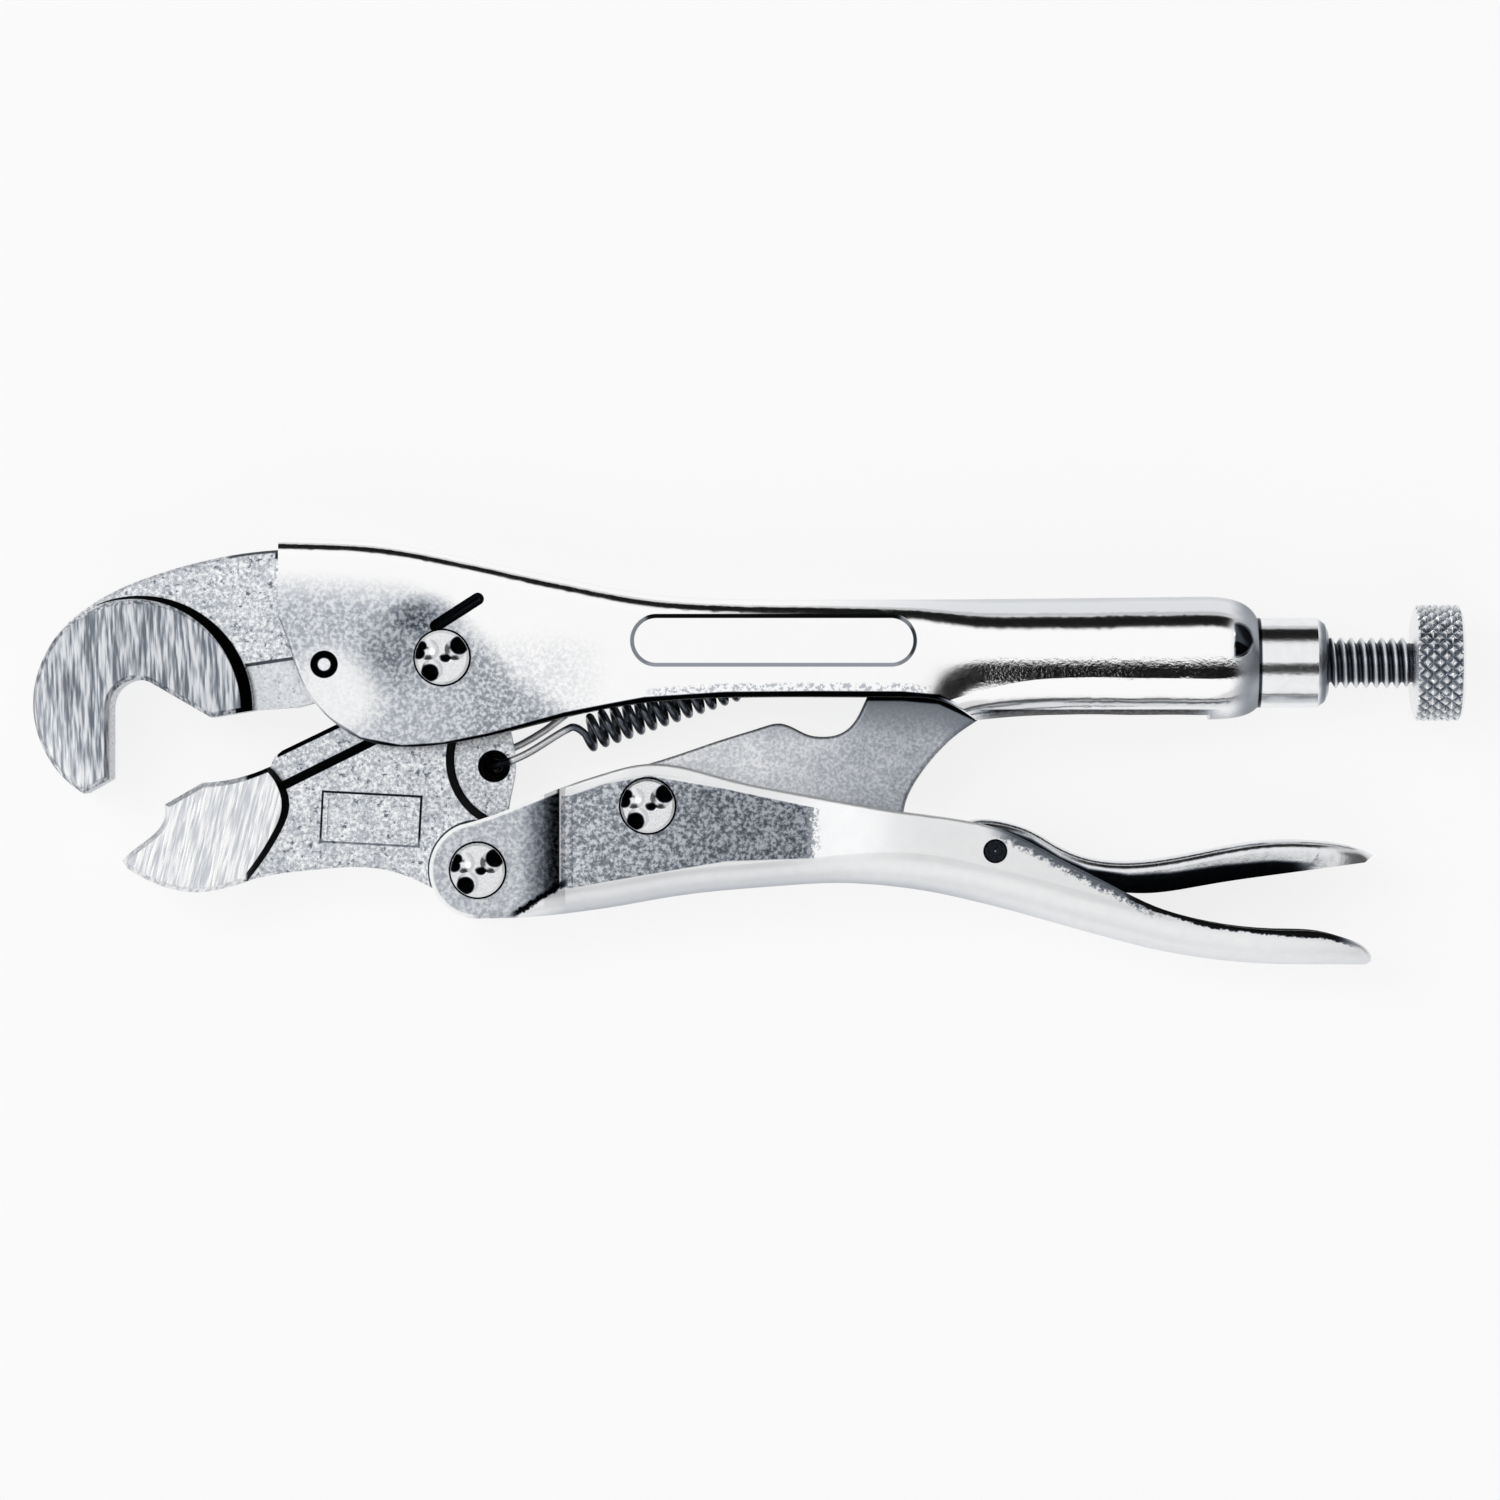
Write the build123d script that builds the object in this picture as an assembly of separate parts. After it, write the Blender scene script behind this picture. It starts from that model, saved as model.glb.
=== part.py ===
from build123d import *
import os
from math import atan2, cos, degrees, pi, radians, sin, sqrt

# Locking pliers with hexagon jaws, shut and locked, lying on one side.
# X runs from the jaws to the knob, Y from the lower handle to the upper one, Z up from the table.
# The origin is on the jaw pivot's axis, on the face of its lower rivet head. Lengths are millimetres.

# Stock thicknesses
SHEET_T = 2.0
JAW_T = 8.4
JAW_HEAD_T = 11.0
TONGUE_T = 6.8
LUG_T = 4.8
LINK_T = 6.6
LEVER_T = 1.2
CLIP_T = 1.6

# Clearances
SIDE_GAP = 0.1
LINK_GAP = 0.2
LEVER_GAP = 0.5
TURN_GAP = 0.4
RUN_FIT = 0.05
SEAT_FIT = 0.02
ROOF_GAP = 0.1

# Pivots in plan, the jaw pivot being the origin
HANDLE_PIVOT = (4.4, -26.3)
LINK_PIVOT = (25.4, -18.35)
LINK_END = (68.0, -2.7)
LEVER_PIVOT = (68.4, -23.95)
JAW_PIN_AT = (-14.6, -0.85)
SCREW_Y = -0.6

# Rivets and pins
RIVET_D = 5.0
RIVET_HEAD_D = 6.7
RIVET_HEAD_T = 0.95
STAKE_DEPTH = 0.5
STAKE_BALL_R = 2.0
STAKE_CIRCLE_R = 1.9
STAKE_ANGLES = (30, 150, 232)
JAW_PIN_D = 2.2
JAW_PIN_SINK_D = 3.3
LEVER_PIN_D = 3.0

# Jaws
NUT_AF = 12.7
NUT_CENTRE = (-34.9, -11.15)
RELIEF_R = 3.5
UPPER_HEAD_CENTRE = (-37.4, -6.2)
UPPER_HEAD_R = 14.0
UPPER_TOP_CENTRE = (-38.1, -6.5)
UPPER_TOP_R = 13.1
STEP_SPREAD = 1.0
LOWER_STEP = 1.1
TONGUE_R = 7.7
JAW_EYE_R = 5.3
LUG_CENTRE = (9.3, -12.6)
LUG_RECESS_R = 8.0
HEAD_EDGE = 0.6
FORGED_EDGE = 0.4
FRAME_H = 0.3
FRAME_W = 0.6

# Edges of the pressed handles, rounded after trimming
RIM_R = 0.4
RIM_LEAST = 20

# Upper handle
UPPER_FRONT = -20.3
UPPER_BACK = 101.1
TUBE_HALF_W = 6.5
END_WALL = 6.0
PAD_H = 0.3
PAD_SLOPE = 60
CREASE = ((-0.8, 3.9), (4.4, 7.25))
CREASE_R = 0.9
CREASE_DEPTH = 0.45
UPPER_TOP = [(-24, 14.5), (-15, 14.85), (-5, 13.95), (5, 11.95), (15, 9.85), (25, 8.0), (35, 7.3), (50, 7.2),
             (66, 7.3), (80, 7.45), (96, 7.6)]
UPPER_LOW = [(-24, -15.0), (10, -14.5), (30, -12.0), (45, -10.0), (58, -8.6), (66, -7.9), (74, -7.65),
             (96, -7.65)]
UPPER_BEND = [(-24, 2.2), (0, 2.2), (25, 2.4), (46, 2.6), (58, 3.6), (68, 5.0), (96, 5.0)]
UPPER_CURL = [(-24, 1.0), (50, 1.0), (58, 1.8), (66, 3.6), (74, 5.0), (96, 5.0)]
UPPER_HALF = [(-24, 0.0), (46, 0.0), (58, 0.3), (70, 1.0), (96, 1.0)]

# Lower handle
EAR_R = 6.0
SPINE_CLEAR = 1.0
LOWER_BACK = 115.1
GRIP_HALF_W = 6.6
PANEL_DEPTH = 0.3
LOWER_LOW = [(-4, -32.3), (4.4, -32.3), (12, -32.05), (20, -31.1), (30, -29.4), (40, -28.45), (50, -27.95),
             (60, -28.95), (70, -31.25), (80, -34.05), (90, -36.55), (100, -37.85), (110, -38.05), (118, -38.0)]
LOWER_BEND = [(-4, 0.3), (6, 0.3), (10, 1.6), (14, 3.0), (45, 3.2), (60, 4.6), (100, 4.8), (118, 3.4)]
LOWER_HALF = [(40, 0.0), (46, 0.12), (52, 0.72), (58, 1.0), (100, 1.0)]
TAIL_X = 100
TAIL_TAPER = 2.2

# Toggle link
LINK_EYE_R = 5.0
LINK_CAP_R = 3.0
LINK_EDGE_R = 0.5

# Release lever
LEVER_EDGE_R = 1.4

# Adjusting screw, a quarter-inch thread of twenty turns to the inch
THREAD_D = 6.35
THREAD_PITCH = 1.27
THREAD_DEPTH = 0.75
TIP_D = 4.8
TIP_LENGTH = 5.6
TIP_GAP = 1.3
SPIGOT_D = 4.6
SPIGOT_LENGTH = 4.6
COLLAR_D = 11.2
COLLAR_LENGTH = 8.8
BUSH_D = 8.6
BUSH_LENGTH = 13.0
KNOB_D = 14.5
KNOB_W = 6.3
KNOB_GAP = 10.5
KNOB_EDGE = 0.9

# Tension spring and its anchor
SPRING_HOLE = (6.3, -13.45)
SPRING_HOLE_D = 3.4
ANCHOR_AT = (45.5, 0.2)
ANCHOR_HOLE_D = 2.5
WIRE_D = 0.95
COIL_R = 1.9
COIL_PITCH = 1.57
COIL_TURNS = 13
COIL_START = 12.0
HOOK_BEND_R = 1.0
HOOK_GAP = 0.2
HOOK_TAIL = 2.6
TURN_OUT_R = 1.4

# Sizes worked out from those above
CHEEK_IN = JAW_T / 2 + SIDE_GAP
CHEEK_OUT = CHEEK_IN + SHEET_T
PANEL_IN = LINK_T / 2 + LINK_GAP
PANEL_OUT = PANEL_IN + SHEET_T
LEVER_HALF_W = GRIP_HALF_W - SHEET_T - LEVER_GAP
MID_HEIGHT = CHEEK_OUT + RIVET_HEAD_T
TIP_X = LINK_END[0] + LINK_CAP_R + TIP_GAP
KNOB_X = UPPER_BACK + COLLAR_LENGTH + KNOB_GAP


def along(table, x):
    """Value at x on a smooth curve through rows of (x, value)."""
    last = len(table) - 1
    i = 0
    while i < last - 1 and x > table[i + 1][0]:
        i += 1

    def slope(k):
        a = table[max(k - 1, 0)]
        b = table[min(k + 1, last)]
        return (b[1] - a[1]) / (b[0] - a[0])

    (x0, y0), (x1, y1) = table[i], table[i + 1]
    h = x1 - x0
    t = min(max((x - x0) / h, 0), 1)
    rise = t * t * (3 - 2 * t)
    return y0 + (y1 - y0) * rise + h * t * (1 - t) * (slope(i) * (1 - t) - slope(i + 1) * t)


def polar(centre, radius, degrees):
    """Point on a circle."""
    return (centre[0] + radius * cos(radians(degrees)), centre[1] + radius * sin(radians(degrees)))


def arc(centre, radius, start, end):
    """Circular edge between two angles in degrees."""
    points = [polar(centre, radius, a) for a in (start, (start + end) / 2, end)]
    return Edge.make_three_point_arc(*points)


def curve(*points):
    """Smooth edge through the points."""
    return Edge.make_spline([Vector(*p) for p in points])


def lines(*points):
    """Straight edges from point to point."""
    return [Edge.make_line(a, b) for a, b in zip(points, points[1:])]


def plate(face, half):
    """Face thickened evenly to both sides of the mid-plane."""
    return extrude(face, amount=half, both=True)


def layer(face, low, high):
    """Face thickened between two heights on both sides of the mid-plane."""
    upper = extrude(Pos(0, 0, low) * face, amount=high - low)
    return upper + mirror(upper, about=Plane.XY)


def relief(face, low, spread):
    """Cutter down to a height on both sides of a jaw's body, its walls spreading outwards."""
    depth = JAW_T / 2 + SIDE_GAP - low
    upper = extrude(Pos(0, 0, low) * face, amount=depth, taper=-degrees(atan2(spread, depth)))
    return upper + mirror(upper, about=Plane.XY)


def bore(centre, diameter, half=20):
    """Round cutter across the tool."""
    return Pos(centre[0], centre[1], 0) * Cylinder(diameter / 2, 2 * half)


def ring(x, low, high, half, r_low, r_high):
    """Closed cross-section of a pressed handle: a rectangle with rounded corners."""
    spots = [(high - r_high, half - r_high, r_high, 0), (low + r_low, half - r_low, r_low, 90),
             (low + r_low, r_low - half, r_low, 180), (high - r_high, r_high - half, r_high, 270)]
    corners = []
    for y, z, r, turn in spots:
        points = [(x, y + r * cos(radians(turn + a)), z + r * sin(radians(turn + a))) for a in (0, 45, 90)]
        corners.append(Edge.make_three_point_arc(*points))
    edges = []
    for i, corner in enumerate(corners):
        following = corners[(i + 1) % 4]
        edges += [corner, Edge.make_line(corner @ 1, following @ 0)]
    return Wire(edges)


def lofted(rings, ruled=False):
    """Solid through the cross-sections."""
    return Part() + Solid.make_loft(rings, ruled)


def steps(start, end, count):
    """Evenly spaced values, both ends included."""
    return [start + (end - start) * i / (count - 1) for i in range(count)]


def outlines(body):
    """Edges round the lowest and the highest face of a plate."""
    levels = body.edges().group_by(Axis.Z)
    return levels[0] + levels[-1]


def rounded_rims(body):
    """Pressed channel with the long edges of its trimmed rims rounded over."""
    rims = body.faces().filter_by(GeomType.EXTRUSION)
    return fillet([e for rim in rims for e in rim.edges() if e.length > RIM_LEAST], RIM_R)


def rivet(centre, seat):
    """Headed rivet through two cheeks, staked on its upper head."""
    body = bore(centre, RIVET_D - 2 * SEAT_FIT, seat)
    head = extrude(Pos(centre[0], centre[1], seat) * Circle(RIVET_HEAD_D / 2), amount=RIVET_HEAD_T)
    top_edge = head.edges().group_by(Axis.Z)[-1]
    head = chamfer(top_edge, RIVET_HEAD_T / 3)
    body = body + head + mirror(head, about=Plane.XY)
    ball_z = seat + RIVET_HEAD_T + STAKE_BALL_R - STAKE_DEPTH
    for angle in STAKE_ANGLES:
        x, y = polar(centre, STAKE_CIRCLE_R, angle)
        body = body - Pos(x, y, ball_z) * Sphere(STAKE_BALL_R)
    return body


def upper_jaw_outline():
    """Plan of the upper jaw: hook, hexagon seat and shank."""
    left = NUT_CENTRE[0] - NUT_AF / 2
    foot = polar(NUT_CENTRE, NUT_AF / 2, 60)
    corner = polar(foot, (left - foot[0]) / cos(radians(30)), -30)
    reach = RELIEF_R * sqrt(3)
    wall_top = (left, corner[1] - reach)
    seat_top = polar(corner, reach, -30)
    seat_end = polar(foot, 3.5, -30)
    relief_mid = polar((left + RELIEF_R, wall_top[1]), RELIEF_R, 120)
    tip_in = (left, NUT_CENTRE[1] - 3.9)
    tip_out = (left - 3.15, NUT_CENTRE[1] - 5.7)
    shoulder = UPPER_FRONT - SIDE_GAP
    shank_end = -9.5
    roof_front = along(UPPER_TOP, shoulder) - SHEET_T - ROOF_GAP
    roof_back = along(UPPER_TOP, shank_end) - SHEET_T - ROOF_GAP
    clear_r = TONGUE_R + TURN_GAP
    outer = curve(tip_out, (-48.7, -12.6), (-50.7, -5.8), (-48.1, 2.25), (-43.1, 6.85), (-34.1, 10.75),
                  (-25.1, 12.85), (shoulder, 13.35))
    edges = [outer]
    edges += lines((shoulder, 13.35), (shoulder, roof_front), (shank_end, roof_back), polar((0, 0), clear_r, 120))
    edges += [arc((0, 0), clear_r, 120, 205)]
    edges += lines(polar((0, 0), clear_r, 205), (-18.1, -6.15), (-23.2, -6.5), seat_end, seat_top)
    edges += [Edge.make_three_point_arc(seat_top, relief_mid, wall_top)]
    edges += lines(wall_top, tip_in, tip_out)
    return make_face(edges)


def upper_head(outline):
    """Raised head of the upper jaw, whose step down to the shank is a slope that widens to the back."""
    foot_z = JAW_T / 2 - SIDE_GAP
    blank = plate(Pos(*UPPER_HEAD_CENTRE) * Circle(UPPER_HEAD_R), foot_z)
    foot = Wire.make_circle(UPPER_HEAD_R, Plane((*UPPER_HEAD_CENTRE, foot_z)))
    top = Wire.make_circle(UPPER_TOP_R, Plane((*UPPER_TOP_CENTRE, JAW_HEAD_T / 2)))
    slope = lofted([foot, top], True)
    blank = blank + slope + mirror(slope, about=Plane.XY)
    face = outline & Pos(*UPPER_HEAD_CENTRE) * Circle(UPPER_HEAD_R + 2 * HEAD_EDGE)
    return chamfer(outlines(plate(face, JAW_HEAD_T / 2)), HEAD_EDGE) & blank


def upper_jaw():
    """Fixed jaw: raised hook head on a thinner shank that ends in a hollow round the lower jaw's tongue."""
    outline = upper_jaw_outline()
    body = chamfer(outlines(plate(outline, JAW_T / 2)), FORGED_EDGE)
    strip = make_face(lines((-26, -1.4), (-7, 1.4), (-7, -9), (-26, -9), (-26, -1.4)))
    body = body - relief(strip, TONGUE_T / 2, STEP_SPREAD / 2)
    return body + upper_head(outline) - bore(JAW_PIN_AT, JAW_PIN_D)


def lower_jaw_faces():
    """Plans of the whole lower jaw and of its raised head, and the points of the step between them."""
    foot = polar(NUT_CENTRE, NUT_AF / 2, -60)
    seat_start = polar(foot, -3.1, 30)
    seat_end = polar(foot, 2.3, 30)
    tongue_start = polar((0, 0), TONGUE_R, 218.5)
    tongue_end = polar((0, 0), TONGUE_R, -30)
    eye_start = polar(HANDLE_PIVOT, JAW_EYE_R, 40)
    eye_end = polar(HANDLE_PIVOT, JAW_EYE_R, -145)
    brow = (-21.4, -13.5)
    heel = (-24.0, -27.6)
    beak_top = (-39.6, -25.2)
    beak_low = (-39.0, -26.1)
    head = [curve(heel, (-27, -28.55), (-30.5, -29.05), (-35.1, -28.15), beak_low)]
    head += lines(beak_low, beak_top)
    head += [curve(beak_top, (-37.1, -22.95), (-34.9, -20.9), seat_start)]
    head += lines(seat_start, seat_end)
    head += [curve(seat_end, (-26, -15.05), brow)]
    rest = lines(brow, (-20.9, -12.3), (-19.9, -11.5), tongue_start)
    rest += [arc((0, 0), TONGUE_R, 218.5, -30)]
    rest += [curve(tongue_end, (8.6, -10.5), (8.9, -14), (8.1, -18.3), eye_start)]
    rest += [arc(HANDLE_PIVOT, JAW_EYE_R, 40, -145)]
    rest += [curve(eye_end, (-3.1, -27.65), (-6.6, -26.4), (-11.1, -25.95), (-16, -26.3), (-20.5, -26.8), heel)]
    step = [brow, (-19.6, -15.6), (-18.9, -18.3), (-20.1, -21.8), (-22, -24.9), heel]
    return make_face(head + rest), make_face(head + [curve(*step)]), step


def step_cutter(points):
    """Cutter behind the lower head, whose wall leans over the head."""
    rings = []
    for z, lean in ((JAW_T / 2 - SIDE_GAP, 0), (JAW_HEAD_T / 2 + SIDE_GAP, LOWER_STEP)):
        wall = [(x - lean, y, z) for x, y in points]
        rings.append(Wire([curve(*wall)] + lines(wall[-1], (-8, -36, z), (-8, -6, z), wall[0])))
    upper = lofted(rings, True)
    return upper + mirror(upper, about=Plane.XY)


def lower_jaw():
    """Moving jaw: raised head, body between the ears, thin tongue on the pivot and a lug for the spring."""
    outline, head_face, step = lower_jaw_faces()
    body = chamfer(outlines(plate(outline, JAW_T / 2)), FORGED_EDGE)
    above = make_face(lines((-22, -16.3), (10, -0.4), (10, 10), (-22, 10), (-22, -16.3)))
    body = body - relief(above, TONGUE_T / 2, STEP_SPREAD)
    body = body - relief(Pos(*LUG_CENTRE) * Circle(LUG_RECESS_R), LUG_T / 2, STEP_SPREAD)
    head = chamfer(outlines(plate(head_face, JAW_HEAD_T / 2)), HEAD_EDGE)
    head = head - step_cutter(step)
    window = RectangleRounded(12, 6, 0.5) - RectangleRounded(12 - 2 * FRAME_W, 6 - 2 * FRAME_W, 0.3)
    frame = extrude(Pos(-8.9, -20.0, JAW_T / 2 - FRAME_H) * Rot(0, 0, -3) * window, amount=2 * FRAME_H)
    body = body + head + frame
    for centre, diameter in (((0, 0), RIVET_D + 2 * RUN_FIT), (HANDLE_PIVOT, RIVET_D + 2 * RUN_FIT),
                             (SPRING_HOLE, SPRING_HOLE_D)):
        body = body - bore(centre, diameter)
    return body


def upper_rings(inset):
    """Cross-sections of the upper handle up to its end wall, set in by the given wall."""
    rings = []
    for x in steps(UPPER_FRONT - 3, UPPER_BACK - END_WALL, 20):
        half = CHEEK_OUT + (TUBE_HALF_W - CHEEK_OUT) * along(UPPER_HALF, x)
        bend = max(along(UPPER_BEND, x) - inset, 0.4)
        curl = max(along(UPPER_CURL, x) - inset, 0.4)
        low = along(UPPER_LOW, x) + inset
        top = along(UPPER_TOP, x) - inset
        rings.append(ring(x, low, top, half - inset, curl, bend))
    return rings


def end_rings():
    """Cross-sections of the solid rear end, drawn in to the collar."""
    wall = UPPER_BACK - END_WALL
    top = along(UPPER_TOP, wall)
    low = along(UPPER_LOW, wall)
    r = COLLAR_D / 2
    return [ring(wall + END_WALL * 0.45, low + 0.15, top - 0.3, TUBE_HALF_W - 0.1, 5.1, 5.1),
            ring(wall + END_WALL * 0.75, low + 0.55, top - 1.0, TUBE_HALF_W - 0.4, 5.3, 5.3),
            ring(UPPER_BACK, SCREW_Y - r, SCREW_Y + r, r, r - 0.1, r - 0.1)]


def upper_side():
    """Side view that trims the upper handle: square front, swept cheek and the tube's underside."""
    cheek = curve((UPPER_FRONT, 5), (-18.9, 1.3), (-17, -3.8), (-14, -7.5), (-10, -10.1), (-5, -11.05), (0, -10.75),
                  (6, -9.65), (15, -7.4), (25, -5.6), (35, -4.95), (46, -4.85), (57, -4.9), (61.5, -5.3),
                  (64.5, -6.7), (68, -9.5))
    edges = [cheek]
    edges += lines((68, -9.5), (UPPER_BACK + 3, -9.5), (UPPER_BACK + 3, 20), (UPPER_FRONT, 20), (UPPER_FRONT, 5))
    return plate(make_face(edges), 12)


def crease():
    """Cutter for the pressed crease above the jaw pivot, in both cheeks."""
    z = CHEEK_OUT + CREASE_R - CREASE_DEPTH
    a, b = [Vector(x, y, z) for x, y in CREASE]
    span = b - a
    turn = degrees(atan2(span.Y, span.X))
    tool = Pos((a + b) / 2) * Rot(0, 0, turn) * Rot(0, 90, 0) * Cylinder(CREASE_R, span.length)
    for end in (a, b):
        tool = tool + Pos(end) * Sphere(CREASE_R)
    return tool + mirror(tool, about=Plane.XY)


def upper_handle():
    """Pressed channel whose rear is rolled into a tube with an open slot below."""
    body = lofted(upper_rings(0) + end_rings()) & upper_side()
    body = rounded_rims(body - lofted(upper_rings(SHEET_T)))
    wall = UPPER_BACK - END_WALL
    slot_half = LINK_T / 2 + LEVER_GAP
    body = body - Pos((wall + 55) / 2, along(UPPER_LOW, wall) - 2, 0) * Box(wall - 55, 9, 2 * slot_half)
    body = body - Pos(wall, SCREW_Y, 0) * Rot(0, 90, 0) * Cylinder(BUSH_D / 2, 4 * END_WALL)
    pad = Pos(41, 2.1) * SlotOverall(35.6, 6.6)
    raised = extrude(Pos(0, 0, CHEEK_OUT) * pad, amount=PAD_H, taper=PAD_SLOPE)
    body = body + layer(pad, CHEEK_OUT - SHEET_T / 2, CHEEK_OUT) + raised + mirror(raised, about=Plane.XY)
    body = body - bore((0, 0), RIVET_D) - bore(JAW_PIN_AT, JAW_PIN_D)
    sink = layer(Pos(*JAW_PIN_AT) * Circle(JAW_PIN_SINK_D / 2), CHEEK_OUT - 0.5, CHEEK_OUT + 1)
    return body - sink - crease()


def lower_rings(inset):
    """Cross-sections of the lower handle behind its ears, set in by the given wall."""
    rings = []
    for x in steps(15.2, LOWER_BACK + 1, 19):
        half = PANEL_OUT + (GRIP_HALF_W - PANEL_OUT) * along(LOWER_HALF, x)
        if x > TAIL_X:
            half = half - TAIL_TAPER * ((x - TAIL_X) / (LOWER_BACK + 1 - TAIL_X)) ** 2
        bend = along(LOWER_BEND, x)
        rings.append(ring(x, along(LOWER_LOW, x) + inset, 8, half - inset, max(bend - inset, 0.4), 1))
    return rings


def ear_rings(inset):
    """Cross-sections of the ears and of the set that brings them in to the panel."""
    rings = []
    for x, half in ((-4, CHEEK_OUT), (4.4, CHEEK_OUT), (8.4, CHEEK_OUT), (12.6, CHEEK_OUT), (15.2, PANEL_OUT)):
        bend = along(LOWER_BEND, x)
        rings.append(ring(x, along(LOWER_LOW, x) + inset, 8, half - inset, max(bend - inset, 0.3), 1))
    return rings


def lower_side():
    """Side view that trims the lower handle: round ears, humped cheek and falling grip."""
    ear_top = polar(HANDLE_PIVOT, EAR_R, 112)
    edges = [curve(ear_top, (6, -19.6), (10, -18.05), (15, -16.0), (20, -14.35), (24.5, -13.25), (27.5, -13.2),
                   (35, -14.95), (45, -17.0), (57, -19.1), (64, -20.05), (70, -21.6), (76, -24.7), (82, -27.75),
                   (88, -30.7), (95, -32.75), (104, -33.75), (109, -34.0), (112, -34.8), (114.4, -36.0),
                   (LOWER_BACK, -37.0))]
    edges += lines((LOWER_BACK, -37.0), (LOWER_BACK, -37.6), (LOWER_BACK - 1.2, -38.6), (LOWER_BACK - 1.2, -45))
    edges += lines((LOWER_BACK - 1.2, -45), (HANDLE_PIVOT[0], -45), polar(HANDLE_PIVOT, EAR_R, 270))
    edges += [arc(HANDLE_PIVOT, EAR_R, 270, 112)]
    return plate(make_face(edges), 12)


def lower_handle():
    """Pressed channel open upwards, two ears in front and a spoon-shaped grip behind."""
    side = lower_side()
    ears = (lofted(ear_rings(0), True) & side) - lofted(ear_rings(SHEET_T), True)
    ears = ears - bore(HANDLE_PIVOT, 2 * (EAR_R + SPINE_CLEAR), CHEEK_IN)
    grip = (lofted(lower_rings(0)) & side) - lofted(lower_rings(SHEET_T))
    body = rounded_rims(ears + grip)
    recess = make_face([curve((16, -17.0), (20, -15.6), (25.5, -14.55), (35, -16.2), (46, -18.5))]
                       + lines((46, -18.5), (46, -24.9), (35, -25.3), (25, -27.0), (16, -28.6), (16, -17.0)))
    body = body - layer(recess, PANEL_OUT - PANEL_DEPTH, PANEL_OUT + 1)
    for centre, diameter in ((HANDLE_PIVOT, RIVET_D), (LINK_PIVOT, RIVET_D), (LEVER_PIVOT, LEVER_PIN_D)):
        body = body - bore(centre, diameter)
    return body


def toggle_link():
    """Flat strut from the lower handle to the screw's tip, with a hump and a finger notch on top."""
    eye_top = polar(LINK_PIVOT, LINK_EYE_R, 105)
    eye_low = polar(LINK_PIVOT, LINK_EYE_R, 270)
    cap_top = polar(LINK_END, LINK_CAP_R, 92)
    cap_low = polar(LINK_END, LINK_CAP_R, -70)
    edges = [curve(eye_top, (29.9, -11.75), (34.9, -10.05), (39.6, -8.6), (41.8, -8.15), (43.6, -8.75),
                   (45.3, -9.55), (47.2, -9.8), (49.2, -9.45), (50.7, -8.4), (51.7, -6.9), (53.2, -3.9),
                   (56.2, -1.2), (61, 0.1), cap_top)]
    edges += [arc(LINK_END, LINK_CAP_R, 92, -70)]
    edges += [curve(cap_low, (66.1, -7.9), (63.9, -9.4), (61.9, -11.2), (59.9, -13.5), (58.4, -15.7), (57.4, -17.9),
                    (57.1, -19.6))]
    edges += lines((57.1, -19.6), (55.6, -21.4), (45, -22.4), eye_low)
    edges += [arc(LINK_PIVOT, LINK_EYE_R, 270, 105)]
    body = fillet(outlines(plate(make_face(edges), LINK_T / 2)), LINK_EDGE_R)
    return body - bore(LINK_PIVOT, RIVET_D + 2 * RUN_FIT)


def lever_top(drop):
    """Top line of the release lever from nose to tail, lowered by the given wall."""
    points = [(57.6, -23.9), (60.5, -22.6), (64, -20.6), (67, -20.0), (70, -20.4), (73, -21.4), (76.5, -23.4),
              (80, -24.75), (85, -25.25), (90, -24.75), (97, -23.4), (103, -22.6), (108, -22.65), (112.5, -23.3),
              (115.5, -24.5)]
    return [(x, y - drop) for x, y in points]


def release_lever():
    """Pressed lever, a channel open downwards, whose tail rises between the handles."""
    top = lever_top(0)
    low = [(114.4, -25.4), (105, -26.65), (95, -28.1), (87, -29.2), (79, -28.2), (72, -26.7), (66, -25.9),
           (60, -25.0), (57.6, -24.7)]
    outline = make_face([curve(*top)] + lines(top[-1], low[0]) + [curve(*low)] + lines(low[-1], top[0]))
    inside = lever_top(LEVER_T)
    hollow = make_face([curve(*inside)] + lines(inside[-1], (115.5, -34), (57.6, -34), inside[0]))
    body = plate(outline, LEVER_HALF_W)
    levels = body.edges().group_by(Axis.Z)
    backs = [level.sort_by(SortBy.LENGTH)[-1] for level in (levels[0], levels[-1])]
    body = fillet(backs, LEVER_EDGE_R)
    body = body - plate(hollow, LEVER_HALF_W - LEVER_T)
    return body - bore(LEVER_PIVOT, LEVER_PIN_D + 2 * RUN_FIT)


def turned(*points):
    """Solid turned about the screw's axis from (x, radius) points."""
    profile = [(x, SCREW_Y + r) for x, r in points]
    return revolve(make_face(lines(*profile, profile[0])), axis=Axis((0, SCREW_Y, 0), (1, 0, 0)))


def screw_bushing():
    """Collar with a spigot in the tube's end and a clear bore for the screw."""
    hole = THREAD_D / 2 + 2 * RUN_FIT
    rim = COLLAR_D / 2
    back = UPPER_BACK + COLLAR_LENGTH
    start = UPPER_BACK - BUSH_LENGTH
    spigot = BUSH_D / 2 - SEAT_FIT
    return turned((start, hole), (start, spigot), (UPPER_BACK, spigot), (UPPER_BACK, rim), (back - 1.4, rim),
                  (back - 0.4, rim - 0.7), (back, rim - 1.6), (back, hole))


def screw_tip():
    """Dog point that bears on the link's end."""
    r = TIP_D / 2
    return turned((TIP_X, 0), (TIP_X, r - 0.8), (TIP_X + 0.8, r), (TIP_X + TIP_LENGTH, r), (TIP_X + TIP_LENGTH, 0))


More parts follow.
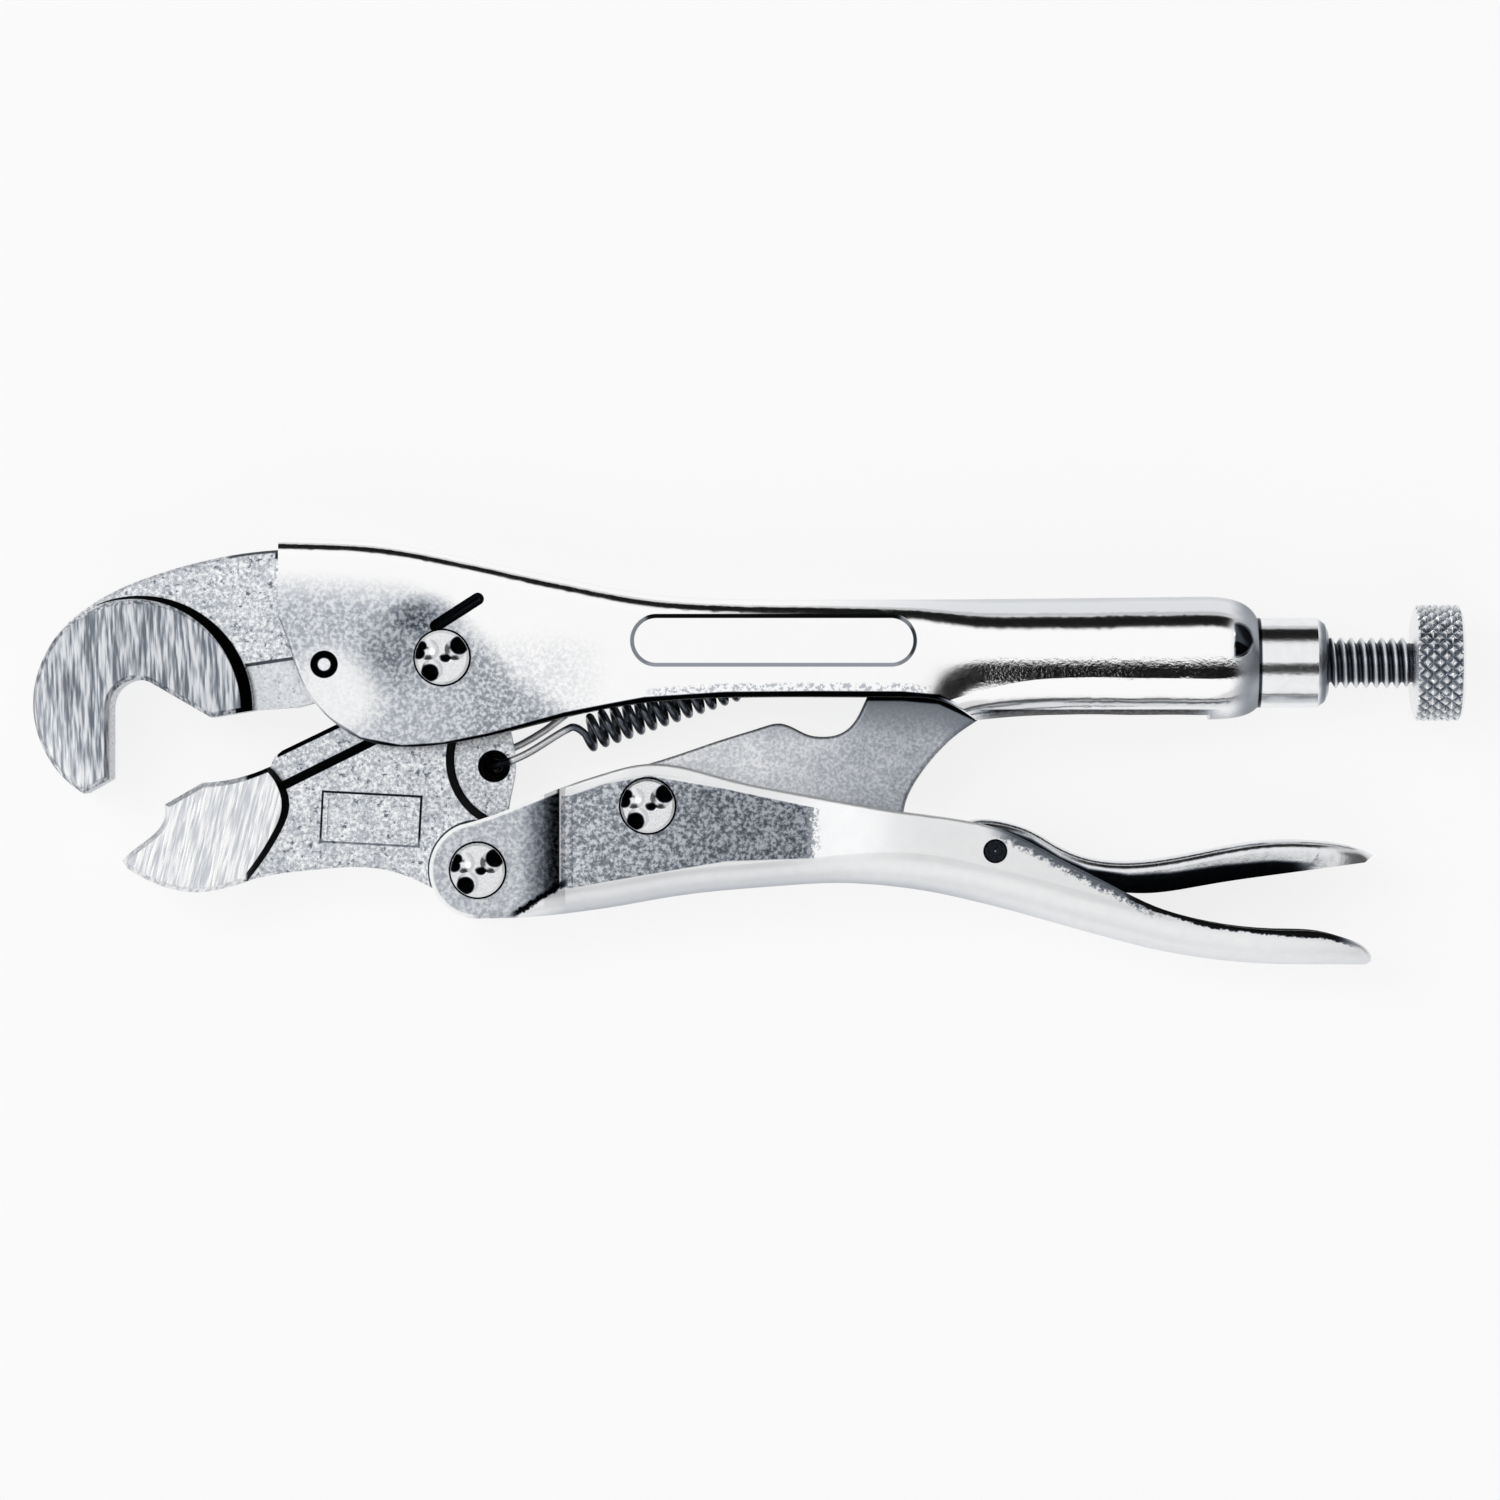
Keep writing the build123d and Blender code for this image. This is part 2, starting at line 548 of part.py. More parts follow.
def adjusting_screw():
    """Threaded rod from the dog point to the knob, with a plain spigot in the knob."""
    start = TIP_X + TIP_LENGTH
    crest = THREAD_D / 2
    root = crest - THREAD_DEPTH
    core = turned((start, 0), (start, root), (KNOB_X, root), (KNOB_X, SPIGOT_D / 2),
                  (KNOB_X + SPIGOT_LENGTH, SPIGOT_D / 2), (KNOB_X + SPIGOT_LENGTH, 0))
    run = KNOB_X - start - 2 * THREAD_PITCH
    first = (start + THREAD_PITCH, SCREW_Y, 0)
    helix = Edge.make_helix(THREAD_PITCH, run, root, center=first, normal=(1, 0, 0))
    foot = THREAD_PITCH * 0.42
    flat = THREAD_PITCH * 0.06
    plane = Plane(helix @ 0, x_dir=(1, 0, 0), z_dir=helix % 0)
    out = ((helix @ 0) - Vector(*first)).normalized()
    side = 1 if plane.y_dir.dot(out) > 0 else -1
    profile = plane * make_face(lines((-foot, -0.1 * side), (foot, -0.1 * side), (flat, THREAD_DEPTH * side),
                                      (-flat, THREAD_DEPTH * side), (-foot, -0.1 * side)))
    return core + sweep(profile, path=helix, is_frenet=True)


def knurled_knob():
    """Round knob with broken edges and a blind bore for the screw's spigot."""
    r = KNOB_D / 2
    hole = SPIGOT_D / 2 + SEAT_FIT
    depth = KNOB_X + SPIGOT_LENGTH + SEAT_FIT
    back = KNOB_X + KNOB_W
    return turned((KNOB_X, hole), (KNOB_X, r - KNOB_EDGE), (KNOB_X + KNOB_EDGE / 2, r), (back - KNOB_EDGE / 2, r),
                  (back, r - KNOB_EDGE), (back, 0), (depth, 0), (depth, hole))


def spring_anchor_clip():
    """Stamped clip under the channel's roof, holed for the spring's rear hook."""
    x, y = ANCHOR_AT
    roof = along(UPPER_TOP, x) - SHEET_T - ROOF_GAP
    foot = Pos(x, roof - CLIP_T / 2, 0) * Box(6, CLIP_T, 5)
    low = y - ANCHOR_HOLE_D / 2 - 1
    leg = Pos(x, (roof + low) / 2, 0) * Box(4.4, roof - low, CLIP_T)
    return foot + leg - bore(ANCHOR_AT, ANCHOR_HOLE_D)


def biarc(p, tangent, q, end_tangent):
    """Two arcs that leave p and reach q along the given directions."""
    v = q - p
    t = tangent + end_tangent
    bend = 2 * (1 - tangent.dot(end_tangent))
    if bend < 1e-9:
        d = v.dot(v) / (4 * v.dot(end_tangent))
    else:
        d = (-v.dot(t) + sqrt(v.dot(t) ** 2 + bend * v.dot(v))) / bend
    middle = (p + q + (tangent - end_tangent) * d) * 0.5
    heading = ((q - end_tangent * d) - (p + tangent * d)).normalized()
    return [Edge.make_tangent_arc(p, tangent, middle), Edge.make_tangent_arc(middle, heading, q)]


def spring_path():
    """Centre line of the spring: front hook, coil and rear hook, as arcs and straights."""
    start = Vector(*SPRING_HOLE)
    reach = Vector(*ANCHOR_AT) - start
    length = reach.length
    u = reach.normalized()
    v = Vector(-u.Y, u.X, 0)
    w = Vector(0, 0, 1)

    def at(s, a, b):
        return start + u * s + v * a + w * b

    def hook(s, way, half):
        side = half + HOOK_GAP + WIRE_D / 2
        turn = s + way * HOOK_BEND_R
        tail = at(turn + way * HOOK_TAIL, 0, -side)
        under = at(turn, 0, -side)
        low = at(s, 0, HOOK_BEND_R - side)
        high = at(s, 0, side - HOOK_BEND_R)
        over = at(turn, 0, side)
        back = u * -way
        return [Edge.make_line(tail, under), Edge.make_tangent_arc(under, back, low), Edge.make_line(low, high),
                Edge.make_tangent_arc(high, w, over)], over

    def coil(turns):
        angle = 2 * pi * turns
        point = at(COIL_START + COIL_PITCH * turns, -COIL_R * sin(angle), COIL_R * cos(angle))
        heading = u * (COIL_PITCH / (2 * pi)) - v * (COIL_R * cos(angle)) - w * (COIL_R * sin(angle))
        return point, heading.normalized()

    front, over = hook(0, 1, LUG_T / 2)
    first, heading = coil(0)
    leave = at(COIL_START - TURN_OUT_R, TURN_OUT_R, COIL_R)
    path = front + biarc(over, u, leave, u) + biarc(leave, u, first, heading)
    for i in range(2 * COIL_TURNS):
        path += biarc(*coil(i / 2), *coil((i + 1) / 2))
    last, heading = coil(COIL_TURNS)
    join = at(COIL_START + COIL_PITCH * COIL_TURNS + TURN_OUT_R, -TURN_OUT_R, COIL_R)
    rear, over = hook(length, -1, CLIP_T / 2)
    path += biarc(last, heading, join, u) + biarc(join, u, over, u)
    for edge in reversed(rear):
        path.append(edge.reversed())
    return path


def least_gap(path):
    """Least distance between parts of the wire that are over three wire diameters apart along it."""
    points = []
    run = 0
    for edge in path:
        count = max(2, int(edge.length / 0.2))
        for i in range(count):
            points.append((run + edge.length * i / count, edge @ (i / count)))
        run += edge.length
    gap = run
    for i, (s, p) in enumerate(points):
        for r, q in points[i + 1:]:
            if r - s > 3 * WIRE_D:
                gap = min(gap, (p - q).length)
    return gap - WIRE_D


def tension_spring():
    """Extension spring as one unbroken wire from hook to hook."""
    path = spring_path()
    print("tension_spring least gap to itself", round(least_gap(path), 3))
    wire = Wire(path)
    section = Plane(wire @ 0, z_dir=wire % 0) * Circle(WIRE_D / 2)
    return sweep(section, path=wire)


def pin(centre, diameter, half):
    """Plain pin across the tool with broken ends."""
    body = bore(centre, diameter - 2 * SEAT_FIT, half)
    return chamfer(outlines(body), 0.2)


NODES = {
    "upper_handle": upper_handle(),
    "upper_jaw": upper_jaw(),
    "upper_jaw_pin": pin(JAW_PIN_AT, JAW_PIN_D, CHEEK_OUT - 0.1),
    "jaw_pivot_rivet": rivet((0, 0), CHEEK_OUT),
    "spring_anchor_clip": spring_anchor_clip(),
    "tension_spring": tension_spring(),
    "screw_bushing": screw_bushing(),
    "screw_tip": screw_tip(),
    "adjusting_screw": adjusting_screw(),
    "knurled_knob": knurled_knob(),
    "lower_jaw": lower_jaw(),
    "handle_pivot_rivet": rivet(HANDLE_PIVOT, CHEEK_OUT),
    "lower_handle": lower_handle(),
    "link_pivot_rivet": rivet(LINK_PIVOT, PANEL_OUT - PANEL_DEPTH),
    "toggle_link": toggle_link(),
    "release_lever": release_lever(),
    "release_lever_pin": pin(LEVER_PIVOT, LEVER_PIN_D, GRIP_HALF_W - 0.2),
}

os.makedirs("parts", exist_ok=True)
for name, shape in NODES.items():
    export_step(Pos(0, 0, MID_HEIGHT) * shape, f"parts/{name}.step")
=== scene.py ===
import math

import bmesh
import bpy
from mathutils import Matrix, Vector


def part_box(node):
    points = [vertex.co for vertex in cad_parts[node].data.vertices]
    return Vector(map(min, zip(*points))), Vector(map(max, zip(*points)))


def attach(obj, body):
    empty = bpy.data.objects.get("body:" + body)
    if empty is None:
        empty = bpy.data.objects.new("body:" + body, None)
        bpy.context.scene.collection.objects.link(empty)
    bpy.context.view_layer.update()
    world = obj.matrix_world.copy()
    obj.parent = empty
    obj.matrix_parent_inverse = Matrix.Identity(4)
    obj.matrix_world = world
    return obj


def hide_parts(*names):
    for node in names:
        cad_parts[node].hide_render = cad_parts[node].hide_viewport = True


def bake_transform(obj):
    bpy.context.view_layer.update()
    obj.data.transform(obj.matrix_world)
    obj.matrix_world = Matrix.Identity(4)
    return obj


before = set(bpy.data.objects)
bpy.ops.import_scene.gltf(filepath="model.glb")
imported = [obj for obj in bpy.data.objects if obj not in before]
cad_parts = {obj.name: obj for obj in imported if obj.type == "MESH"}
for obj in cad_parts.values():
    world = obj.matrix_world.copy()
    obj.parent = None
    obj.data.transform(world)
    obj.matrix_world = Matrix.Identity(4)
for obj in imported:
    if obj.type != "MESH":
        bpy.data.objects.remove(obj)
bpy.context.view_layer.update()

# Sizes are written in millimetres and turned into metres where meshes are made.
MM = 0.001
MID_HEIGHT = 7.25
CHEEK_OUT = 6.3
SCREW_Y = -0.6
RIVET_HEAD_R = 3.35
EAR_R = 6.0
WIRE_R = 0.475
THREAD_PITCH = 1.27
# Points closer than this are welded, and edges sharper than this stay crisp.
WELD = 0.002
CRISP = math.radians(35)

# Places in plan.
JAW_PIVOT = (0.0, 0.0)
HANDLE_PIVOT = (4.4, -26.3)
LINK_PIVOT = (25.4, -18.35)
JAW_PIN_AT = (-14.6, -0.85)
LEVER_PIN_AT = (68.4, -23.95)
LUG_CENTRE = (9.3, -12.6)
SPRING_HOLE = (6.3, -13.45)
SPRING_ANCHOR = (45.5, 0.2)
HOOK_CENTRE = (-38.1, -6.5)
FRAME_CENTRE = (-8.9, -20.0)
PAD_CENTRE = (41.0, 2.1)
CREASE_END = (1.8, 5.6)
TUBE_CORNER = (98.2, 2.2)

# Heights above the middle: where the jaws' heads rise from their foot, and where their flat faces begin.
HEAD_FOOT = (4.85, 4.95)
HEAD_FACE = (5.4, 5.48)

# Tint that dark steel takes on; it fades out towards white.
COOL = (0.82, 1.0, 1.3, 1)
# Shown greys of the two blacks of painted shade and shadow, in steps, gaps, corners and dents.
DEEP_SHADE_BLACK = 0.03
DULL_SHADE_BLACK = 0.04

# Lower rim of the upper cheeks, and the line below which they are grainy.
CHEEK_RIM = [(-20.3, 5), (-18.9, 1.3), (-17, -3.8), (-14, -7.5), (-10, -10.1), (-5, -11.05), (0, -10.75),
             (6, -9.65), (15, -7.4), (25, -5.6), (35, -4.95), (46, -4.85), (57, -4.9), (61.5, -5.3),
             (64.5, -6.7)]
GRAINY_BELOW = [(-21, 10), (-5, 9), (1, 7), (5, 3), (9, -1.7), (15, -6), (24, -10)]
# Upper rim of the lower handle's tail and of its ears, and the edges of its sunk panel.
TAIL_RIM = [(57, -19.1), (64, -20.05), (70, -21.6), (76, -24.7), (82, -27.75), (88, -30.7), (95, -32.75),
            (104, -33.75), (109, -34.0), (112, -34.8), (114.4, -36.0)]
EAR_TOP = [(2.15, -20.74), (6, -19.6), (10, -18.05), (15, -16), (20, -14.35), (24.5, -13.25)]
PANEL_TOP = [(16, -17.0), (20, -15.6), (25.5, -14.55), (35, -16.2), (46, -18.5)]
PANEL_LOW = [(16, -28.6), (25, -27.0), (35, -25.3), (46, -24.9)]
# Top line of the release lever.
LEVER_TOP = [(57.6, -23.9), (60.5, -22.6), (64, -20.6), (67, -20.0), (70, -20.4), (73, -21.4),
             (76.5, -23.4), (80, -24.75), (85, -25.25), (90, -24.75), (97, -23.4), (103, -22.6),
             (108, -22.65), (112.5, -23.3), (115.5, -24.5)]
# Stake marks of a rivet head: distance from its centre, angle in degrees and radius.
STAKE_MARKS = ((2.6, 35, 1.15), (2.4, 232, 1.1), (2.85, 150, 0.6), (2.9, 170, 0.75))


class Value:
    """A node's output that takes part in Python arithmetic by adding Math nodes."""

    def __init__(self, nodes, socket):
        self.nodes = nodes
        self.socket = socket

    def out(self, name):
        """Another output of the same node."""
        return Value(self.nodes, self.socket.node.outputs[name])

    def math(self, operation, *terms):
        """A Math node on values and numbers."""
        return self.nodes.add("ShaderNodeMath", {"operation": operation}, dict(enumerate(terms)))

    def __add__(self, other):
        return self.math("ADD", self, other)

    def __radd__(self, other):
        return self.math("ADD", other, self)

    def __sub__(self, other):
        return self.math("SUBTRACT", self, other)

    def __rsub__(self, other):
        return self.math("SUBTRACT", other, self)

    def __mul__(self, other):
        return self.math("MULTIPLY", self, other)

    def __rmul__(self, other):
        return self.math("MULTIPLY", other, self)

    def __truediv__(self, other):
        return self.math("DIVIDE", self, other)

    def __rtruediv__(self, other):
        return self.math("DIVIDE", other, self)

    def __pow__(self, other):
        return self.math("POWER", self, other)

    def __rpow__(self, other):
        return self.math("POWER", other, self)

    def __abs__(self):
        return self.math("ABSOLUTE", self)

    def least(self, other):
        """The smaller of the two."""
        return self.math("MINIMUM", self, other)

    def most(self, *others):
        """The largest of all."""
        top = self
        for other in others:
            top = self.math("MAXIMUM", top, other)
        return top


class Nodes:
    """A node tree that is filled one node at a time."""

    def __init__(self, tree):
        self.tree = tree

    def add(self, kind, settings=None, sockets=None, out=0):
        """Adds a node, sets it, fills or links its sockets and gives one of its outputs."""
        node = self.tree.nodes.new(kind)
        for name, setting in (settings or {}).items():
            setattr(node, name, setting)
        for name, value in (sockets or {}).items():
            if isinstance(value, Value):
                self.tree.links.new(value.socket, node.inputs[name])
            else:
                node.inputs[name].default_value = value
        return Value(self, node.outputs[out]) if node.outputs else None

    def ramp(self, value, low, high):
        """0 below low and 1 above high, with a smooth rise between."""
        return self.add("ShaderNodeMapRange", {"interpolation_type": "SMOOTHSTEP"},
                        {"Value": value, "From Min": low, "From Max": high})

    def fade(self, value, low, high):
        """1 below low and 0 above high, with a smooth fall between."""
        return 1 - self.ramp(value, low, high)

    def band(self, value, low, high, soft):
        """1 between low and high, fading to 0 over soft on both sides."""
        return self.ramp(value, low - soft, low) * self.fade(value, high, high + soft)


def grey(level):
    """Plain grey for lamps and paper."""
    return (level, level, level, 1)


def over(shown, share, dark):
    """Grey that goes from shown to dark as share goes from 0 to 1."""
    return shown + share * (dark - shown)


class Finish(Nodes):
    """A metal finish, drawn in millimetres on the piece's own coordinates."""

    def __init__(self, name):
        self.material = bpy.data.materials.new(name)
        self.material.use_nodes = True
        super().__init__(self.material.node_tree)
        self.tree.nodes.clear()
        place = self.add("ShaderNodeTexCoord", out="Object")
        self.place = self.add("ShaderNodeVectorMath", {"operation": "SCALE"}, {0: place, "Scale": 1 / MM})
        self.x = self.add("ShaderNodeSeparateXYZ", None, {0: self.place}, out="X")
        self.y = self.x.out("Y")
        self.z = self.x.out("Z")
        self.height = abs(self.z - MID_HEIGHT)

    def noise(self, per_mm, detail=2.0, rough=0.5):
        """Even noise from 0 to 1."""
        return self.add("ShaderNodeTexNoise", None,
                        {"Vector": self.place, "Scale": per_mm, "Detail": detail, "Roughness": rough})

    def streaks(self, across, along, degrees):
        """Noise drawn out along Y and turned by the angle."""
        turned = self.add("ShaderNodeMapping", {"vector_type": "TEXTURE"},
                          {"Vector": self.place, "Rotation": (0, 0, math.radians(degrees)),
                           "Scale": (1 / across, 1 / along, 1 / across)})
        return self.add("ShaderNodeTexNoise", None, {"Vector": turned, "Scale": 1.0, "Detail": 2.0})

    def from_point(self, point, stretch=1.0):
        """Distance in plan from a point, the X part divided by stretch."""
        dx = (self.x - point[0]) / stretch
        dy = self.y - point[1]
        return (dx * dx + dy * dy) ** 0.5

    def disc(self, point, inner, outer, stretch=1.0):
        """1 in a round spot in plan, fading to 0 between the two radii."""
        return self.fade(self.from_point(point, stretch), inner, outer)

    def rivet_gap_shadow(self, centre):
        """Painted shadow in the gap round a rivet head."""
        return self.disc(centre, RIVET_HEAD_R + 0.15, RIVET_HEAD_R + 0.3)

    def from_axis(self):
        """Distance from the screw's axis."""
        dy = self.y - SCREW_Y
        dz = self.z - MID_HEIGHT
        return (dy * dy + dz * dz) ** 0.5

    def across(self, start, end):
        """Signed distance in plan from the line through two points, positive to its left."""
        dx, dy = end[0] - start[0], end[1] - start[1]
        length = math.hypot(dx, dy)
        return (self.y - start[1]) * (dx / length) - (self.x - start[0]) * (dy / length)

    def line(self, points):
        """Y of a bent line through the points, at the surface's own X."""
        level, before = points[0][1], 0.0
        for (x0, y0), (x1, y1) in zip(points, points[1:]):
            slope = (y1 - y0) / (x1 - x0)
            level = level + (self.x - x0).most(0) * (slope - before)
            before = slope
        return level

    def steel(self, shown, roughness, height, metal=1.0):
        """Metal of that shown grey, with a relief height in millimetres."""
        relief = self.add("ShaderNodeBump", None, {"Distance": MM, "Height": height})
        tint = self.add("ShaderNodeMix", {"data_type": "RGBA"}, {0: shown, 6: COOL, 7: grey(1.0)}, out=2)
        colour = self.add("ShaderNodeMix", {"data_type": "RGBA", "blend_type": "MULTIPLY"},
                          {0: 1.0, 6: shown ** 2.2, 7: tint}, out=2)
        surface = self.add("ShaderNodeBsdfPrincipled", None,
                           {"Base Color": colour, "Roughness": roughness, "Metallic": metal,
                            "Normal": relief})
        self.add("ShaderNodeOutputMaterial", None, {"Surface": surface})
        return self.material


def grit(finish):
    """Grain of a forged blank, its bright specks and its slow clouds."""
    grain = finish.noise(2.4, 3.0, 0.65)
    return grain, finish.ramp(grain, 0.32, 0.68), finish.noise(0.25, 2.0)


def forged(finish):
    """Shown grey and grain of forged steel with scattered pits."""
    grain, specks, clouds = grit(finish)
    pits = finish.fade(finish.noise(1.2, 3.0, 0.7), 0.32, 0.4)
    return over(0.61 + 0.3 * specks + 0.14 * clouds, pits, 0.45), grain


def ground(finish, degrees):
    """Lines left by grinding, from 0 to 1."""
    fine = finish.streaks(2.6, 0.26, degrees)
    broad = finish.streaks(1.0, 0.08, degrees + 2)
    return finish.ramp(fine * 0.65 + broad * 0.35, 0.36, 0.62)


def upper_jaw_steel():
    """Forged satin, the hook's face ground up and down and darker towards its right and top as painted shade,
    with painted black shadow on the step and a painted dark line along the strip.
    """
    finish = Finish("upper_jaw_steel")
    x, y, height = finish.x, finish.y, finish.height
    satin, grain = forged(finish)
    lines = ground(finish, 2)
    # dull is painted shade: the hook's face grows darker towards its right and top, away from the light.
    dull = finish.ramp(x * 0.8 + y * 0.5, -46, -38)
    head = finish.ramp(height, *HEAD_FOOT)
    shown = over(satin, head, 0.62 - 0.18 * dull + lines * (0.37 + 0.07 * dull))
    # Painted black shadow on the step round the hook's face.
    reach = 4.5 + (x + 41) * 0.06
    painted_shadow = finish.ramp(height, 4.22, 4.3) * finish.fade(height - reach, 0, 0.08)
    painted_shadow = painted_shadow * finish.fade(height, *HEAD_FACE) * finish.ramp(x, -43.5, -42)
    painted_shadow = painted_shadow * finish.ramp(finish.from_point(HOOK_CENTRE), 12.3, 12.7)
    # A painted dark line of shade along the strip's step; the tongue below it is lighter.
    strip = finish.band(height, 3.46, 4.1, 0.04) * finish.band(x, -26, -16, 1) * 0.7
    tongue = finish.fade(height, 3.4, 3.5) * finish.band(x, -27, -15, 1) * 0.6
    shown = over(over(over(shown, tongue, 0.88), strip, 0.2), painted_shadow, DEEP_SHADE_BLACK)
    roughness = 0.5 - 0.12 * head - 0.1 * lines * head
    return finish.steel(shown, roughness, grain * 0.035 * (1 - head) + lines * 0.015 * head)


def frame_line(finish):
    """Painted shade in the thin line of the frame on the lower jaw, fainter along its lower side."""
    turn, half_length, half_width, width = math.radians(-3), 6, 3, 0.22
    dx, dy = finish.x - FRAME_CENTRE[0], finish.y - FRAME_CENTRE[1]
    beside = abs(dx * math.cos(turn) + dy * math.sin(turn)) - half_length
    above = abs(dy * math.cos(turn) - dx * math.sin(turn)) - half_width
    return finish.band(beside.most(above), 0.0, width, 0.06) * (0.85 - 0.5 * finish.ramp(0 - dy, 2, 3))


def lower_jaw_steel():
    """Forged satin and the head ground aslant, with painted black shade in the corners of steps, along the
    strip and lip, round the lug's wall and hole, in the frame and beside the ear.
    """
    finish = Finish("lower_jaw_steel")
    x, height = finish.x, finish.height
    satin, grain = forged(finish)
    lines = ground(finish, -14)
    head = finish.ramp(height, *HEAD_FOOT)
    shown = over(satin, head, 0.8 + lines * 0.2)
    # Painted black shade and shadow lines: at the step, along the strip and lip, round the lug's wall, in the
    # frame, round the hole and beside the ear.
    step = finish.band(height, 4.28, 5.4, 0.05) * finish.band(x, -24, -17.5, 0.5)
    strip = finish.band(finish.across((-22, -16.3), (10, -0.4)), -1.1, -0.1, 0.12)
    strip = strip * finish.band(x, -21, 0, 1)
    lip = finish.ramp(finish.across((-19.9, -11.5), (-6.0, -4.8)), -0.6, -0.45)
    lip = lip * finish.band(x, -20.4, 0, 0.2)
    wall = finish.band(finish.from_point(LUG_CENTRE), 8.0, 8.9, 0.12) * finish.fade(height, 4.1, 4.18)
    hole = finish.disc(SPRING_HOLE, 1.95, 2.05)
    beside_ear = finish.band(finish.from_point(HANDLE_PIVOT), EAR_R - 0.3, EAR_R + 0.2, 0.1)
    beside_ear = beside_ear * finish.ramp(height, 3.9, 4.1) * 0.75
    painted_shadow = step.most(strip, lip, wall, frame_line(finish), hole, beside_ear)
    painted_shadow = painted_shadow * finish.fade(height, *HEAD_FACE)
    shown = over(shown, painted_shadow, DULL_SHADE_BLACK)
    roughness = 0.5 - 0.14 * head - 0.1 * lines * head
    return finish.steel(shown, roughness, grain * 0.035 * (1 - head) + lines * 0.012 * head)


def link_steel():
    """Grainy blank of the toggle link, darker towards the right, with painted shade where it runs up under
    the handle and a painted black shadow line at the handle's rim.
    """
    finish = Finish("link_steel")
    grain, specks, clouds = grit(finish)
    shown = 0.72 + 0.18 * specks + 0.12 * clouds - 0.16 * finish.ramp(finish.x, 36, 58)
    below = finish.line(CHEEK_RIM) - finish.y
    # Painted shade where the link runs up under the handle, and a painted shadow line along the handle's rim.
    shown = over(shown, 0.8 * finish.fade(below, 1.0, 6) * finish.ramp(below, -3, 0), 0.5)
    shown = over(shown, finish.band(below, -0.3, 0.3, 0.3), DEEP_SHADE_BLACK)
    return finish.steel(shown, 0.46 + 0.1 * grain, grain * 0.035)


def pressing(finish):
    """Grain, speckle and slow waviness of plated sheet."""
    grain = finish.noise(1.9, 3.0, 0.65)
    return grain, finish.fade(grain, 0.36, 0.64), finish.noise(0.16, 2.0)


def upper_nickel():
    """Bright nickel, grainy on the lower front of the cheeks and dull round the crease, with painted shade
    there too; a painted highlight round the pin, and painted shade and shadow along the spine, rims, pad,
    tube lip and tube end.
    """
    finish = Finish("upper_nickel")
    x, y, height = finish.x, finish.y, finish.height
    grain, speck, wave = pressing(finish)
    rub = finish.noise(0.9, 3.0, 0.6)

    # bright is a painted highlight that clears the grain round the pin.
    bright = finish.disc((-13.2, -4.6), 3.0, 8.0)
    matt = finish.fade(y - finish.line(GRAINY_BELOW), -4.0, 1.5) * (1 - bright * 0.85)
    dust = finish.band(x, 6, 14, 8) * finish.fade(y, -1, 4) * 0.1
    # spine and roof are painted shade where the handle's top rounds away and along the tube's top.
    spine = finish.fade(height, 1.5, 5.6) * (0.1 + 0.2 * finish.ramp(x, 35, 65))
    roof = finish.ramp(y, 4.9, 5.5) * finish.ramp(x, 40, 66)
    shown = 1.0 - matt * (0.12 + 0.22 * speck) - dust * speck - spine.most(roof * 0.11)
    # shade and patch are painted shade left of the rivet and towards the crease.
    shade = finish.disc((-6.2, 0.6), 1.0, 6.5)
    patch = finish.disc((-2.6, 5.2), 0.8, 3.4, stretch=1.5)
    shown = shown - shade * (0.13 + 0.08 * speck) - patch * (0.22 + 0.14 * speck)

    # Painted shadow in the pin's countersink, in the crease and along the cheek's lower rim.
    sink = finish.disc(JAW_PIN_AT, 1.65, 1.75)
    crease = finish.ramp(CHEEK_OUT - height, 0.04, 0.16) * finish.disc(CREASE_END, 4.5, 4.7)
    rise = y - finish.line(CHEEK_RIM)
    rim = finish.fade(rise - 0.5 * finish.ramp(x, -4, 24), 0.12, 0.3)
    rim = rim * finish.fade(x, 61, 64) * finish.ramp(x, -16, -6)
    scuff = finish.band(rise, 0.9, 1.5, 0.4) * finish.band(x, 28, 58, 4) * finish.ramp(speck, 0.5, 0.8)
    # Painted shade along the pad's edge, a painted dark reflection under the tube's lip and painted shade at
    # the tube's neck.
    pad_half, pad_r = 14.5, 2.8
    dx, dy = (abs(x - PAD_CENTRE[0]) - pad_half).most(0), y - PAD_CENTRE[1]
    pad_edge = finish.band((dx * dx + dy * dy) ** 0.5, pad_r, pad_r + 0.4, 0.08)
    lip = finish.band(y, -7.6, -6.5, 0.15) * finish.ramp(x, 65, 69) * finish.fade(x, 92, 97)
    neck = finish.ramp(x, 97.2, 100)
    # The tube's corner is a shallow dent in the relief, painted dark as its shade.
    corner = finish.disc(TUBE_CORNER, 1.9, 2.3) * finish.ramp(x, 97.9, 98.2) * finish.ramp(height, 3, 4)
    shown = over(shown, (scuff * 0.3).most(pad_edge * 0.5, neck * 0.4), 0.2)
    # The painted shadows, with the lip's painted dark reflection, go to black.
    shade_marks = sink.most(finish.rivet_gap_shadow(JAW_PIVOT), crease * 0.95, rim, corner * 0.7)
    shown = over(shown, shade_marks.most(lip * (0.75 + 0.25 * speck)), DULL_SHADE_BLACK)

    drop, lift = (y - 0.3).least(0), (y - 0.3).most(0)
    crown = finish.ramp(x, 58, 68) * (drop * drop * -0.028 - lift * lift * 0.012)
    tube = finish.ramp(x, 60, 70) * finish.band(y, -4, 0.5, 0.8)
    tilt = y - TUBE_CORNER[1]
    bowl = tilt.most(-0.2)
    dent = corner * (tilt * 0.125 + bowl * bowl * 0.07)
    roughness = 0.1 + 0.06 * rub + 0.3 * matt.most(shade * 0.8, neck * (1 - corner)) - 0.06 * tube
    return finish.steel(shown, roughness, wave * 0.02 + crown + dent + grain * (0.03 * matt + 0.02 * tube))


